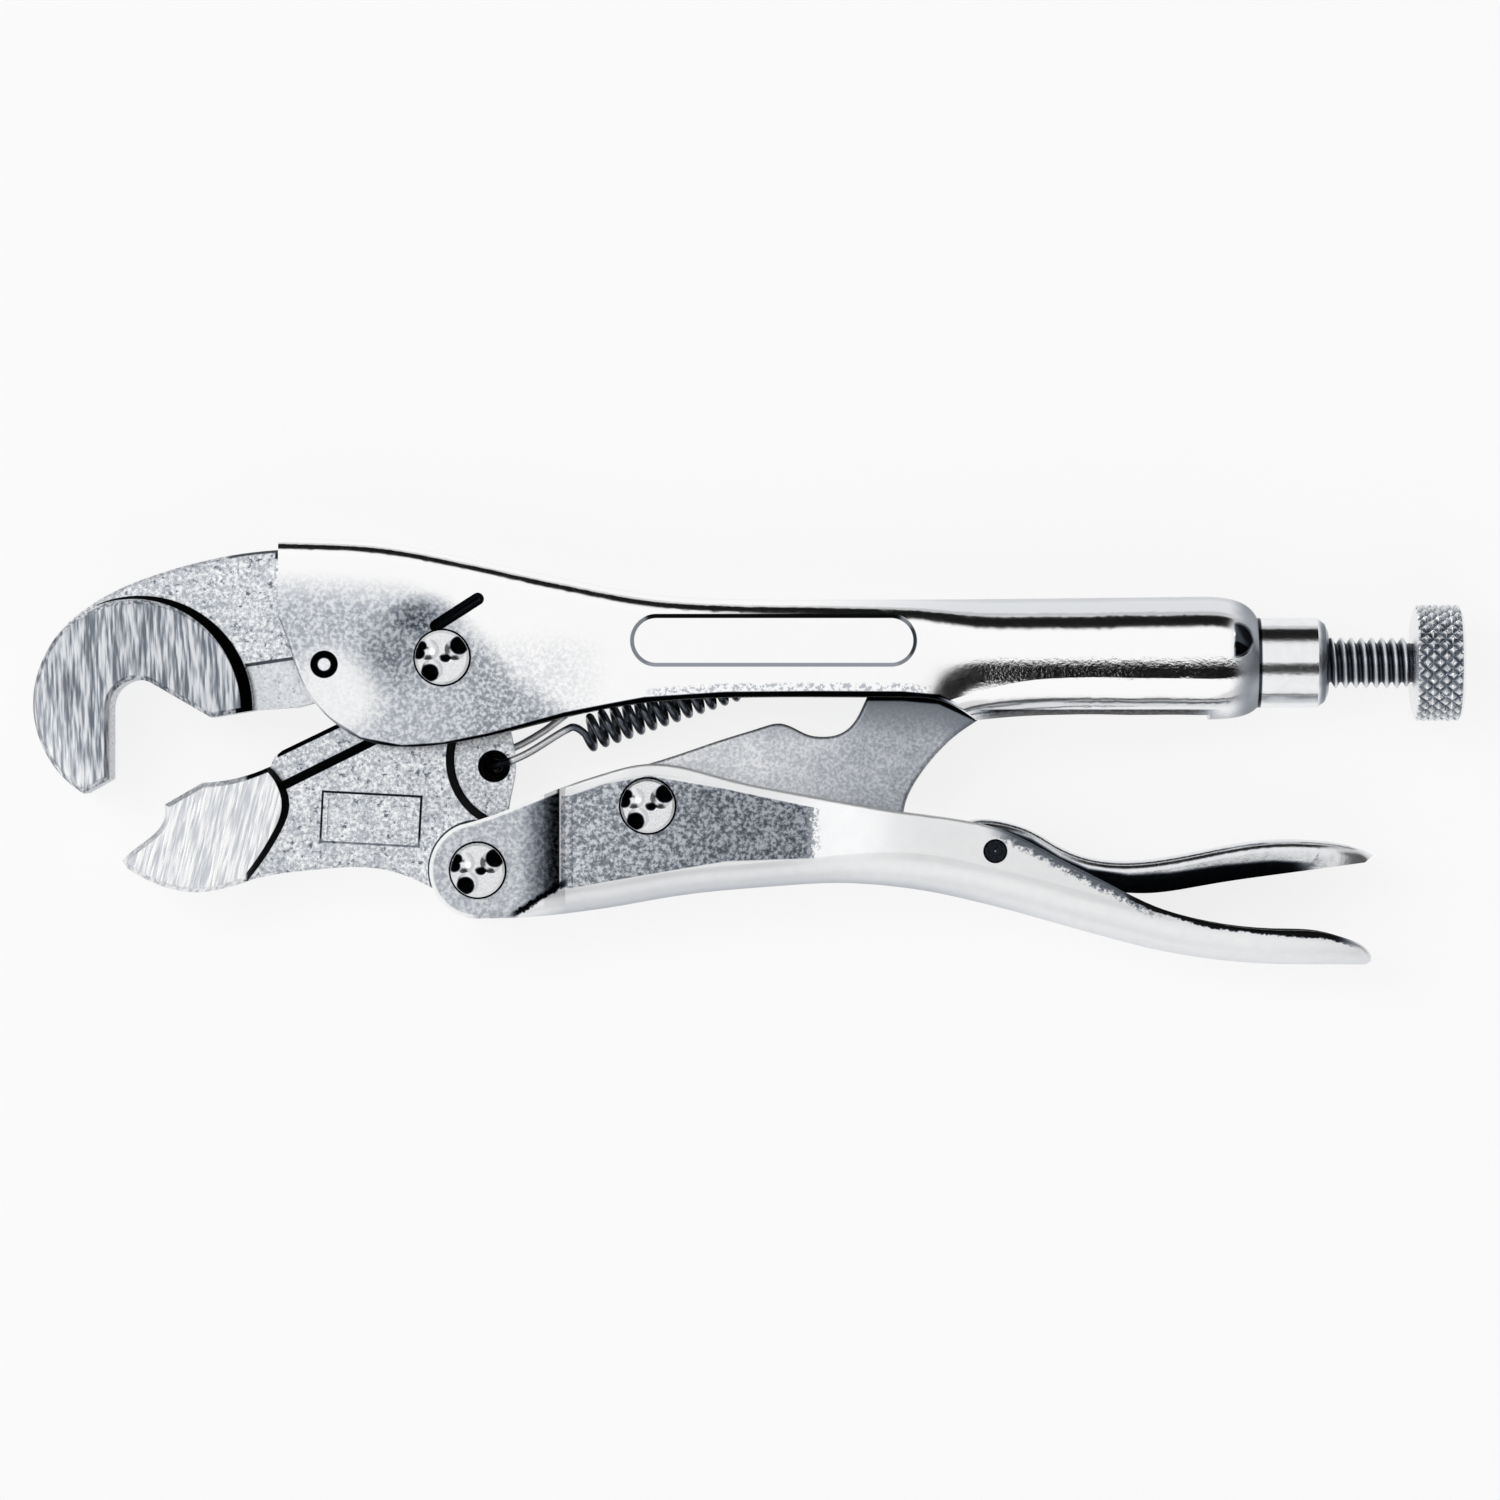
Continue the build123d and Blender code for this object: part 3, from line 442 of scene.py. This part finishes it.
def lower_nickel():
    """Satin nickel, grainy on the ears and dull in the sunk panel, with painted shade on the bottom bend,
    towards the ear's joggle, in the gaps and along the tail's top rim, and a painted highlight along the
    ear's rims.
    """
    finish = Finish("lower_nickel")
    x, y, height = finish.x, finish.y, finish.height
    grain, speck, wave = pressing(finish)
    rub = finish.noise(0.7, 3.0, 0.6)

    corner = finish.across((8.6, -32.2), (14.6, -28.4)) + 0.25 * (speck - 0.5)
    ear = finish.fade(x, 14.4, 14.55) * finish.ramp(corner, -0.15, 0.2)
    above = y - finish.line(PANEL_LOW)
    sunk = finish.ramp(above, 0, 0.2) * finish.ramp(finish.line(PANEL_TOP) - y, 0, 0.15)
    sunk = sunk * finish.ramp(x, 14.5, 14.8) * finish.fade(x + 1.5 * speck, 46.2, 47.2)
    sunk = sunk * finish.ramp(height, 3.6, 4)
    # under is painted shade on the bottom bend where the handle rounds away, fading towards the tail.
    under = finish.fade(height, 2.0, 6.2) * finish.fade(above, -0.5, 0.5)
    shown = 0.99 - 0.04 * rub - under * (0.3 - 0.22 * finish.ramp(x, 55, 80))
    # ear_shade is the ears' grain tone, with painted shade rising towards the joggle.
    ear_shade = 0.1 + 0.18 * speck + 0.4 * finish.ramp(x, 9, 13) + 0.25 * finish.ramp(x, 12.6, 14)
    sunk_shade = 0.1 + 0.15 * finish.ramp(x, 16, 40) + 0.38 * speck
    shown = shown - ear * ear_shade - sunk * sunk_shade

    # Painted shade along the tail's top rim, speckled towards the front, and in the corner beside the ear.
    drop = finish.line(TAIL_RIM) - y
    rim = finish.fade(drop - 0.2 * speck, 0.5, 0.75) * finish.band(x, 86, 110, 4)
    speckled_rim_shade = finish.fade(drop - 0.8 * speck, 0.2, 1.1) * finish.band(x, 71, 86, 4) * 0.6
    fold_shade = finish.band(corner, 0.05, 0.35, 0.4) * finish.band(x, 9.5, 14.4, 1.5) * finish.ramp(height, 4, 4.4)
    # round_rim and top_rim are a painted highlight along the ear's rims.
    round_rim = finish.fade(EAR_R - finish.from_point(HANDLE_PIVOT), 0.35, 0.6) * finish.fade(x, 3.6, 4.6)
    top_rim = finish.fade(finish.line(EAR_TOP) - y, 0.35, 0.6) * finish.band(x, 2.4, 14, 0.5)
    # The painted shadows, with those round the rivet heads, go to black.
    shade_marks = finish.rivet_gap_shadow(HANDLE_PIVOT).most(finish.rivet_gap_shadow(LINK_PIVOT), rim, speckled_rim_shade, fold_shade)
    shown = over(over(shown, round_rim.most(top_rim), 0.98), shade_marks, DULL_SHADE_BLACK)
    dull = ear.most(sunk)
    roughness = 0.34 + 0.08 * rub + 0.12 * dull
    return finish.steel(shown, roughness, wave * 0.02 + grain * 0.03 * dull, 0.8 + 0.2 * dull)


def lever_nickel():
    """Bright nickel on the lever, with painted shade darkening it down its sides."""
    finish = Finish("lever_nickel")
    rub = finish.noise(0.9, 3.0, 0.6)
    depth = finish.line(LEVER_TOP) - finish.y
    # deep is painted shade down the lever's sides.
    deep = finish.ramp(depth - 0.05 * (finish.x - 85), 1.4, 1.9) * finish.fade(finish.x, 105, 109)
    shown = over(0.95 - 0.08 * rub, deep, 0.12)
    return finish.steel(shown, 0.14 + 0.08 * rub, rub * 0.02)


def rivet_nickel(name, centre):
    """Bright rivet head, with painted black shade in its stake marks."""
    finish = Finish(name)
    grain = finish.noise(3.0, 2.0)
    # The nick is a small dent in the relief; it and the stake marks are painted black as shade in the dents.
    nick = finish.disc((centre[0] + 0.45, centre[1] - 0.1), 0.35, 0.6, stretch=1.4)
    marks = nick
    for away, degrees, size in STAKE_MARKS:
        angle = math.radians(degrees)
        spot = (centre[0] + away * math.cos(angle), centre[1] + away * math.sin(angle))
        marks = marks.most(finish.disc(spot, size - 0.15, size + 0.1))
    marks = marks * finish.disc(centre, RIVET_HEAD_R - 0.1, RIVET_HEAD_R)
    shown = over(0.97 - 0.08 * grain, marks, DULL_SHADE_BLACK)
    return finish.steel(shown, 0.16 + 0.1 * grain, grain * 0.01 - nick * 0.05)


def pin_steel(name, centre, bright):
    """Drawn pin whose end is bright inside the given radius, with painted shade of its recess outside it."""
    finish = Finish(name)
    grain = finish.noise(3.5, 2.0)
    # Painted shade of the pin's recess outside the bright radius.
    edge = finish.ramp(finish.from_point(centre), bright, bright + 0.15)
    shown = over(0.8 + 0.25 * grain, edge, 0.06 + 0.2 * grain)
    return finish.steel(shown, 0.3 + 0.1 * grain, grain * 0.02)


def spring_wire():
    """Drawn spring wire, dark on the coil, with painted shade on the eye in the lug's hole and a painted
    highlight on the front hook.
    """
    finish = Finish("spring_wire")
    grain = finish.noise(4.0, 2.0)
    # Painted shade on the wire near the lug's hole, and a painted highlight on the front hook.
    away = finish.ramp(finish.from_point(SPRING_HOLE), 1.9, 2.5)
    hook = finish.fade(finish.x + finish.y * 0.35, 11.5, 13.5) * away
    shown = over((0.26 + 0.2 * grain) * (0.3 + 0.7 * away), hook, 0.95)
    return finish.steel(shown, 0.24 + 0.12 * grain + 0.16 * hook, grain * 0.008)


def screw_steel():
    """Rolled thread, with painted shade in the roots and lighter on the crests."""
    finish = Finish("screw_steel")
    grain = finish.noise(3.5, 2.0)
    # The thread is painted dark towards its roots as shade, and lighter on the crests.
    crest = finish.ramp(finish.from_axis(), 2.5, 3.14)
    return finish.steel(over(0.2 + 0.1 * grain, crest, 0.88), 0.3 + 0.12 * grain, grain * 0.01)


def collar_nickel():
    """Turned and plated collar, with painted shade at its seam and bevel, and a little flattened by
    polishing.
    """
    finish = Finish("collar_nickel")
    turning = finish.streaks(5.0, 0.3, 0)
    stain = finish.noise(0.8, 3.0, 0.6)
    rise = finish.y - SCREW_Y
    # Painted shade on the bevel and at the seam.
    bevel = finish.ramp(finish.x, 108.4, 109.2)
    seam = finish.fade(finish.x, 101.4, 101.6)
    shown = over(0.98 - 0.07 * stain, (bevel * 0.75).most(seam * 0.85), 0.3 - 0.2 * seam)
    flat = rise * rise * 0.0325 + rise.least(0) * 0.035 + finish.ramp(rise, -4.9, -3.1) * 0.24
    return finish.steel(shown, 0.12 + 0.06 * turning, turning * 0.003 + stain * 0.02 + flat)


def knob_nickel():
    """Plated knurl, with painted shade at the foot of the diamonds."""
    finish = Finish("knob_nickel")
    grain = finish.noise(3.0, 2.0)
    # Painted shade in the knurl below the tops of the diamonds.
    top = finish.ramp(finish.from_axis(), 6.55, 7.2)
    rim = finish.band(finish.x, 121.0, 126.2, 0.2)
    shown = over(0.9 + grain * 0.1, rim * (1 - top), 0.5)
    return finish.steel(shown, 0.2 + 0.12 * grain, grain * 0.01)


def placed(name, data):
    """Linked object at the origin that holds a mesh, curve, lamp or camera."""
    piece = bpy.data.objects.new(name, data)
    bpy.context.collection.objects.link(piece)
    return piece


def blank(name, verts, faces):
    """Plain mesh object from points and faces."""
    mesh = bpy.data.meshes.new(name)
    mesh.from_pydata(verts, [], faces)
    return placed(name, mesh)


def geometry_tree(name, inputs):
    """Empty geometry tree with a mesh or curve input, named sizes and a geometry output."""
    tree = bpy.data.node_groups.new(name, "GeometryNodeTree")
    tree.interface.new_socket("Geometry", in_out="INPUT", socket_type="NodeSocketGeometry")
    for label, value in inputs.items():
        socket = tree.interface.new_socket(label, in_out="INPUT", socket_type="NodeSocketFloat")
        socket.default_value = value
    tree.interface.new_socket("Geometry", in_out="OUTPUT", socket_type="NodeSocketGeometry")
    nodes = Nodes(tree)
    return nodes, nodes.add("NodeGroupInput")


def finished(name, nodes, shape, material, source):
    """Ends the tree with real meshes in the material, runs it once and keeps a plain mesh."""
    real = nodes.add("GeometryNodeRealizeInstances", None, {"Geometry": shape})
    coated = nodes.add("GeometryNodeSetMaterial", None, {"Geometry": real, "Material": material})
    nodes.add("NodeGroupOutput", None, {"Geometry": coated})
    maker = source.modifiers.new("maker", "NODES")
    maker.node_group = nodes.tree
    depsgraph = bpy.context.evaluated_depsgraph_get()
    mesh = bpy.data.meshes.new_from_object(source.evaluated_get(depsgraph))
    source.modifiers.remove(maker)
    bpy.data.objects.remove(source)
    return placed(name, mesh)


def on_screw(x, r, turn):
    """Point in metres at a distance from the screw's axis, turned round it from +Y."""
    a = 2 * math.pi * turn
    return (x * MM, (SCREW_Y + r * math.cos(a)) * MM, (MID_HEIGHT + r * math.sin(a)) * MM)


def screw_place(nodes):
    """A tree's X, its two offsets from the screw's axis, the distance from it and the turn round it."""
    place = nodes.add("ShaderNodeSeparateXYZ", None, {0: nodes.add("GeometryNodeInputPosition")})
    up = place.out("Y") - SCREW_Y * MM
    side = place.out("Z") - MID_HEIGHT * MM
    reach = (up * up + side * side) ** 0.5
    return place.out("X"), up, side, reach, place.math("ARCTAN2", side, up) / (2 * math.pi)


def raised(nodes, given, up, side, share):
    """The given mesh moved out from the screw's axis by a share of its distance, and welded."""
    offset = nodes.add("ShaderNodeCombineXYZ", None, {"Y": up * share, "Z": side * share})
    moved = nodes.add("GeometryNodeSetPosition", None,
                      {"Geometry": given.out("Geometry"), "Offset": offset})
    return nodes.add("GeometryNodeMergeByDistance", None, {"Geometry": moved, "Distance": WELD * MM})


def zigzag(value):
    """0 halfway between whole numbers and 1 on them."""
    return abs(value.math("FRACT", value) - 0.5) * 2


def spring_line():
    """Centre line of the spring in millimetres: front hook, coil and rear hook."""
    hole = Vector((*SPRING_HOLE, MID_HEIGHT))
    anchor = Vector((*SPRING_ANCHOR, MID_HEIGHT))
    along = (anchor - hole).normalized()
    length = (anchor - hole).length
    up = Vector((-along.y, along.x, 0))
    out = Vector((0, 0, 1))
    coil_r, pitch, turns, per_turn, start = 1.9, 1.57, 13, 24, 12.0
    bend, run, front_dip, tail = 1.0, 1.4, -0.3, 3.6
    eye_r, curl_r, curl_lift = 1.35, 0.44, 0.4
    lug_half, clip_half, play = 2.4, 0.8, 0.2
    front_side = lug_half + play + WIRE_R
    rear_side = clip_half + play + WIRE_R
    quarter = [math.radians(15 * k) for k in range(7)]

    def at(s, a, b):
        return hole + along * s + up * a + out * b

    def near_bend(s, way, side):
        return [at(s + way * bend * (1 - math.cos(a)), 0, side - bend * (1 - math.sin(a))) for a in quarter]

    def far_bend(s, way, side):
        return [at(s + way * bend * (1 - math.sin(a)), 0, bend * (1 - math.cos(a)) - side) for a in quarter]

    def eye(side):
        strand = ((11.4, 3.6), (10.2, 3.1), (8.8, 2.6), (7.4, 2.15), (5.6, 1.75), (4.2, 1.5),
                  (3.0, 1.38), (1.6, eye_r))
        points = [at(s, a, -side) for s, a in strand]
        count = 20
        for k in range(5 * count // 2 + 1):
            a = math.radians(90 + 360 * k / count)
            inner = min(max(2 * k / count - 2, 0), 1)
            r = eye_r + (curl_r - eye_r) * inner
            points.append(at(r * math.cos(a), r * math.sin(a), -side + curl_lift * inner))
        return points

    def lead(p, q, dip, count=12):
        points = []
        for k in range(1, count):
            t = k / count
            smooth = t * t * (3 - 2 * t)
            rise = p[1] + (q[1] - p[1]) * smooth + dip * math.sin(math.pi * t)
            points.append(at(p[0] + (q[0] - p[0]) * t, rise, p[2] + (q[2] - p[2]) * smooth))
        return points

    points = eye(front_side) + near_bend(0, 1, front_side)
    points += lead((bend, 0, front_side), (start - run, run, coil_r), front_dip)
    for k in range(6):
        t = k / 6
        points.append(at(start - run + run * t, run * (1 - t * t), coil_r))
    for k in range(per_turn * turns + 1):
        t = k / per_turn
        a = 2 * math.pi * t
        points.append(at(start + pitch * t, -coil_r * math.sin(a), coil_r * math.cos(a)))
    end = start + pitch * turns
    for k in range(1, 6):
        t = k / 6
        points.append(at(end + run * t, -run * t * t, coil_r))
    points += lead((end + run, -run, coil_r), (length - bend, 0, rear_side), 0)
    points += reversed(far_bend(length, -1, rear_side) + near_bend(length, -1, rear_side))
    points.append(at(length - tail, 0, -rear_side))
    return points


def tension_spring(material):
    """Spring wire swept along its centre line."""
    line = bpy.data.curves.new("spring_line", "CURVE")
    line.dimensions = "3D"
    points = spring_line()
    spline = line.splines.new("POLY")
    spline.points.add(len(points) - 1)
    for spot, point in zip(spline.points, points):
        spot.co = (*(point * MM), 1)

    nodes, given = geometry_tree("wire_along_a_line", {"Wire radius": WIRE_R * MM})
    section = nodes.add("GeometryNodeCurvePrimitiveCircle", None,
                        {"Resolution": 12, "Radius": given.out("Wire radius")})
    wire = nodes.add("GeometryNodeCurveToMesh", None,
                     {"Curve": given.out("Geometry"), "Profile Curve": section, "Fill Caps": True})
    smooth = nodes.add("GeometryNodeSetShadeSmooth", None, {"Geometry": wire})
    spring = finished("spring_coil", nodes, smooth, material, placed("spring_line", line))
    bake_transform(spring)
    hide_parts("tension_spring")


def knurled_knob(material):
    """Turned blank whose rim is cut into crossed diamonds."""
    low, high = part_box("knurled_knob")
    front, back = low.x / MM, high.x / MM
    rim = (high.y - low.y) / 2 / MM
    screw_hole, edge, knurl_in, flat = 2.32, 0.6, 0.44, 0.3
    rows, around = 34, 288
    profile = [(back - 0.25, 0.0), (back - 0.25, 2.2), (back - 0.1, 3.2), (back, 4.2), (back, rim - 1.3),
               (back - 0.12, rim - 0.85), (back - 0.4, rim - 0.45)]
    for k in range(rows + 1):
        profile.append((back - edge - (back - front - 2 * edge) * k / rows, rim))
    profile += [(front + 0.35, rim - 0.4), (front + 0.12, rim - 0.85), (front, rim - 1.4),
                (front, screw_hole), (front + 0.6, screw_hole)]
    verts = [on_screw(x, r, k / around) for x, r in profile for k in range(around)]
    faces = []
    for i in range(len(profile) - 1):
        for k in range(around):
            n = (k + 1) % around
            faces.append((i * around + k, i * around + n, (i + 1) * around + n, (i + 1) * around + k))

    sizes = {"Diamonds round": 28.0, "Diamonds per metre": 620.0, "Knurl depth": 0.6 * MM}
    nodes, given = geometry_tree("diamond_knurl", sizes)
    x, up, side, reach, turn = screw_place(nodes)
    turn = turn * given.out("Diamonds round")
    slide = x * given.out("Diamonds per metre")
    groove = nodes.add("ShaderNodeMapRange", None,
                       {"Value": zigzag(turn + slide).most(zigzag(turn - slide)),
                        "From Min": flat, "From Max": 1.0})
    band = nodes.add("ShaderNodeMapRange", None,
                     {"Value": reach, "From Min": (rim - knurl_in) * MM, "From Max": rim * MM})
    sink = groove * band * given.out("Knurl depth") / reach * -1
    cut = raised(nodes, given, up, side, sink)
    knob = finished("knob_knurl", nodes, cut, material, blank("knob_blank", verts, faces))
    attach(knob, "screw")
    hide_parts("knurled_knob")


def adjusting_screw(material):
    """Round blank raised into a thread along its own helix, from the point to the knob."""
    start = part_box("adjusting_screw")[0].x / MM
    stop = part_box("knurled_knob")[0].x / MM
    root, spigot, seated = 2.425, 2.25, 0.5
    valley, crest = 0.16, 0.88
    per_turn, around = 12, 40
    rows = math.ceil((stop + seated - start) / THREAD_PITCH + 1) * per_turn
    verts = []
    for j in range(rows + 1):
        for k in range(around + 1):
            x = start + (j / per_turn + k / around - 1) * THREAD_PITCH
            x = min(max(x, start), stop + seated)
            verts.append(on_screw(x, root if x < stop else spigot, k / around))
    wide = around + 1
    faces = [tuple(range(around))[::-1], tuple(rows * wide + k for k in range(around))]
    for j in range(rows):
        for k in range(around):
            faces.append((j * wide + k, j * wide + k + 1, (j + 1) * wide + k + 1, (j + 1) * wide + k))

    sizes = {"Pitch": THREAD_PITCH * MM, "Thread depth": 0.75 * MM, "Start": start * MM, "Stop": stop * MM}
    nodes, given = geometry_tree("rolled_thread", sizes)
    x, up, side, reach, turn = screw_place(nodes)
    from_start = (x - given.out("Start")) / given.out("Pitch")
    to_stop = (given.out("Stop") - x) / given.out("Pitch")
    flank = nodes.add("ShaderNodeMapRange", None,
                      {"Value": 1 - zigzag(from_start - turn), "From Min": valley, "From Max": crest})
    lead_in = nodes.add("ShaderNodeMapRange", None, {"Value": from_start, "From Max": 1.0})
    lead_out = nodes.add("ShaderNodeMapRange", None, {"Value": to_stop, "From Min": 0.15, "From Max": 0.6})
    rise = flank * lead_in * lead_out * given.out("Thread depth") / reach
    thread = raised(nodes, given, up, side, rise)
    screw = finished("screw_thread", nodes, thread, material, blank("screw_blank", verts, faces))
    screw.data.shade_smooth()
    screw.data.set_sharp_from_angle(angle=CRISP)
    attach(screw, "screw")
    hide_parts("adjusting_screw")


def release_lever(material):
    """Pressed lever whose side walls lean in towards the open edge and whose tail is round."""
    solid = bmesh.new()
    solid.from_mesh(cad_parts["release_lever"].data)
    bmesh.ops.remove_doubles(solid, verts=solid.verts, dist=WELD * MM)
    tail_cuts = (107, 108.5, 110, 111.2, 112.3, 113.2, 114, 114.7, 115.2)
    for x in tail_cuts:
        bmesh.ops.bisect_plane(solid, geom=solid.verts[:] + solid.edges[:] + solid.faces[:],
                               dist=WELD * MM / 2, plane_co=(x * MM, 0, 0), plane_no=(1, 0, 0))
    solid.verts.index_update()
    lean, straight_to, upright_from, ease = math.tan(math.radians(7.0)), 1.4, 110, 6
    round_from, round_to = 106.0, 116.3
    verts = []
    for vert in solid.verts:
        x, y, z = vert.co / MM
        side = z - MID_HEIGHT
        before = max(k for k in range(len(LEVER_TOP) - 1) if LEVER_TOP[k][0] <= max(x, LEVER_TOP[0][0]))
        (x0, y0), (x1, y1) = LEVER_TOP[before], LEVER_TOP[before + 1]
        depth = max(y0 + (y1 - y0) * (x - x0) / (x1 - x0) - y - straight_to, 0)
        fade = min(max((upright_from - x) / ease, 0), 1)
        z -= math.copysign(lean * depth * fade, side)
        along = max(x - round_from, 0) / (round_to - round_from)
        z = MID_HEIGHT + (z - MID_HEIGHT) * math.sqrt(1 - along * along)
        verts.append((x * MM, y * MM, z * MM))
    faces = [[vert.index for vert in face.verts] for face in solid.faces]
    solid.free()
    lever = blank("lever_shell", verts, faces)
    lever.data.shade_smooth()
    lever.data.set_sharp_from_angle(angle=CRISP)
    lever.data.materials.append(material)
    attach(lever, "lever")
    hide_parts("release_lever")


def dress(material, *names):
    """Gives carried-over pieces their finish."""
    for name in names:
        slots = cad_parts[name].data.materials
        slots.clear()
        slots.append(material)


def tent():
    """White tent, greyer low down but not in front, with a dark slit for the lens and dark strips."""
    world = bpy.data.worlds.new("studio")
    world.use_nodes = True
    bpy.context.scene.world = world
    world.node_tree.nodes.clear()
    sky = Nodes(world.node_tree)
    way = sky.add("ShaderNodeTexCoord", out="Generated")
    x = sky.add("ShaderNodeSeparateXYZ", None, {0: way}, out="X")
    y, z = x.out("Y"), x.out("Z")
    high = z.most(0.02)
    u = x / high
    v = y / high
    slit = sky.band(v, -0.4, -0.11, 0.05) * sky.ramp(u, -0.07, -0.02) * sky.fade(u, 1.0, 1.6)
    behind = sky.band(v, 1.0, 4.2, 0.35) * sky.fade(abs(u) / v.most(0.01), 0.35, 0.6)
    right = sky.band(u, 0.85, 4.0, 0.3) * sky.fade(abs(v) / u.most(0.01), 0.5, 0.9) * 0.85
    dark = slit.most(behind, right)
    low = sky.ramp((u * u + v * v) ** 0.5, 0.5, 1.8)
    low = low * sky.ramp(v, -0.6, 0.2).most(sky.ramp(u * u, 0.15, 0.6))
    white, low_loss, black = 0.95, 0.28, 0.006
    back = sky.add("ShaderNodeBackground", None,
                   {"Color": grey(1.0), "Strength": over(white - low_loss * low, dark, black)})
    sky.add("ShaderNodeOutputWorld", None, {"Surface": back})


def paper_floor():
    """Pale paper that shows white to the lens and in the metal, and keeps the shadow."""
    paper = bpy.data.materials.new("floor_paper")
    paper.use_nodes = True
    paper.node_tree.nodes.clear()
    sheet = Nodes(paper.node_tree)
    path = sheet.add("ShaderNodeLightPath", out="Is Camera Ray")
    seen = path.most(path.out("Is Glossy Ray"), path.out("Is Transmission Ray"))
    matt = sheet.add("ShaderNodeBsdfDiffuse", None, {"Color": grey(0.95)})
    glow = sheet.add("ShaderNodeEmission", None, {"Color": grey(1.0), "Strength": 1.0})
    surface = sheet.add("ShaderNodeMixShader", None, {0: seen * 0.82, 1: matt, 2: glow})
    sheet.add("ShaderNodeOutputMaterial", None, {"Surface": surface})
    bpy.ops.mesh.primitive_plane_add(size=6)
    floor = bpy.context.object
    floor.name = "floor"
    floor.data.materials.append(paper)


def lamp_and_camera():
    """One softbox on the left, and the camera straight above the tool."""
    lamp = bpy.data.lights.new("left_softbox", "AREA")
    lamp.energy = 2
    lamp.size = 0.5
    softbox = placed("left_softbox", lamp)
    softbox.location = (-0.5, 0.25, 0.9)
    aim = Vector((0.038, -0.011, 0.007)) - Vector(softbox.location)
    softbox.rotation_euler = aim.to_track_quat("-Z", "Y").to_euler()
    softbox.visible_camera = False

    lens = bpy.data.cameras.new("camera")
    lens.lens = 200
    lens.sensor_width = 36
    camera = placed("camera", lens)
    camera.location = (38.07 * MM, -11.44 * MM, (MID_HEIGHT + 1036.7) * MM)
    bpy.context.scene.camera = camera
    bpy.context.scene.view_settings.view_transform = "Standard"


tent()
paper_floor()
lamp_and_camera()
dress(upper_nickel(), "upper_handle")
dress(lower_nickel(), "lower_handle")
dress(upper_jaw_steel(), "upper_jaw")
dress(lower_jaw_steel(), "lower_jaw")
dress(link_steel(), "toggle_link", "spring_anchor_clip")
dress(rivet_nickel("jaw_rivet_nickel", JAW_PIVOT), "jaw_pivot_rivet")
dress(rivet_nickel("handle_rivet_nickel", HANDLE_PIVOT), "handle_pivot_rivet")
dress(rivet_nickel("link_rivet_nickel", LINK_PIVOT), "link_pivot_rivet")
dress(pin_steel("jaw_pin_steel", JAW_PIN_AT, 0.7), "upper_jaw_pin")
dress(pin_steel("lever_pin_steel", LEVER_PIN_AT, 0.0), "release_lever_pin")
thread_steel = screw_steel()
dress(thread_steel, "screw_tip")
dress(collar_nickel(), "screw_bushing")
tension_spring(spring_wire())
adjusting_screw(thread_steel)
knurled_knob(knob_nickel())
release_lever(lever_nickel())
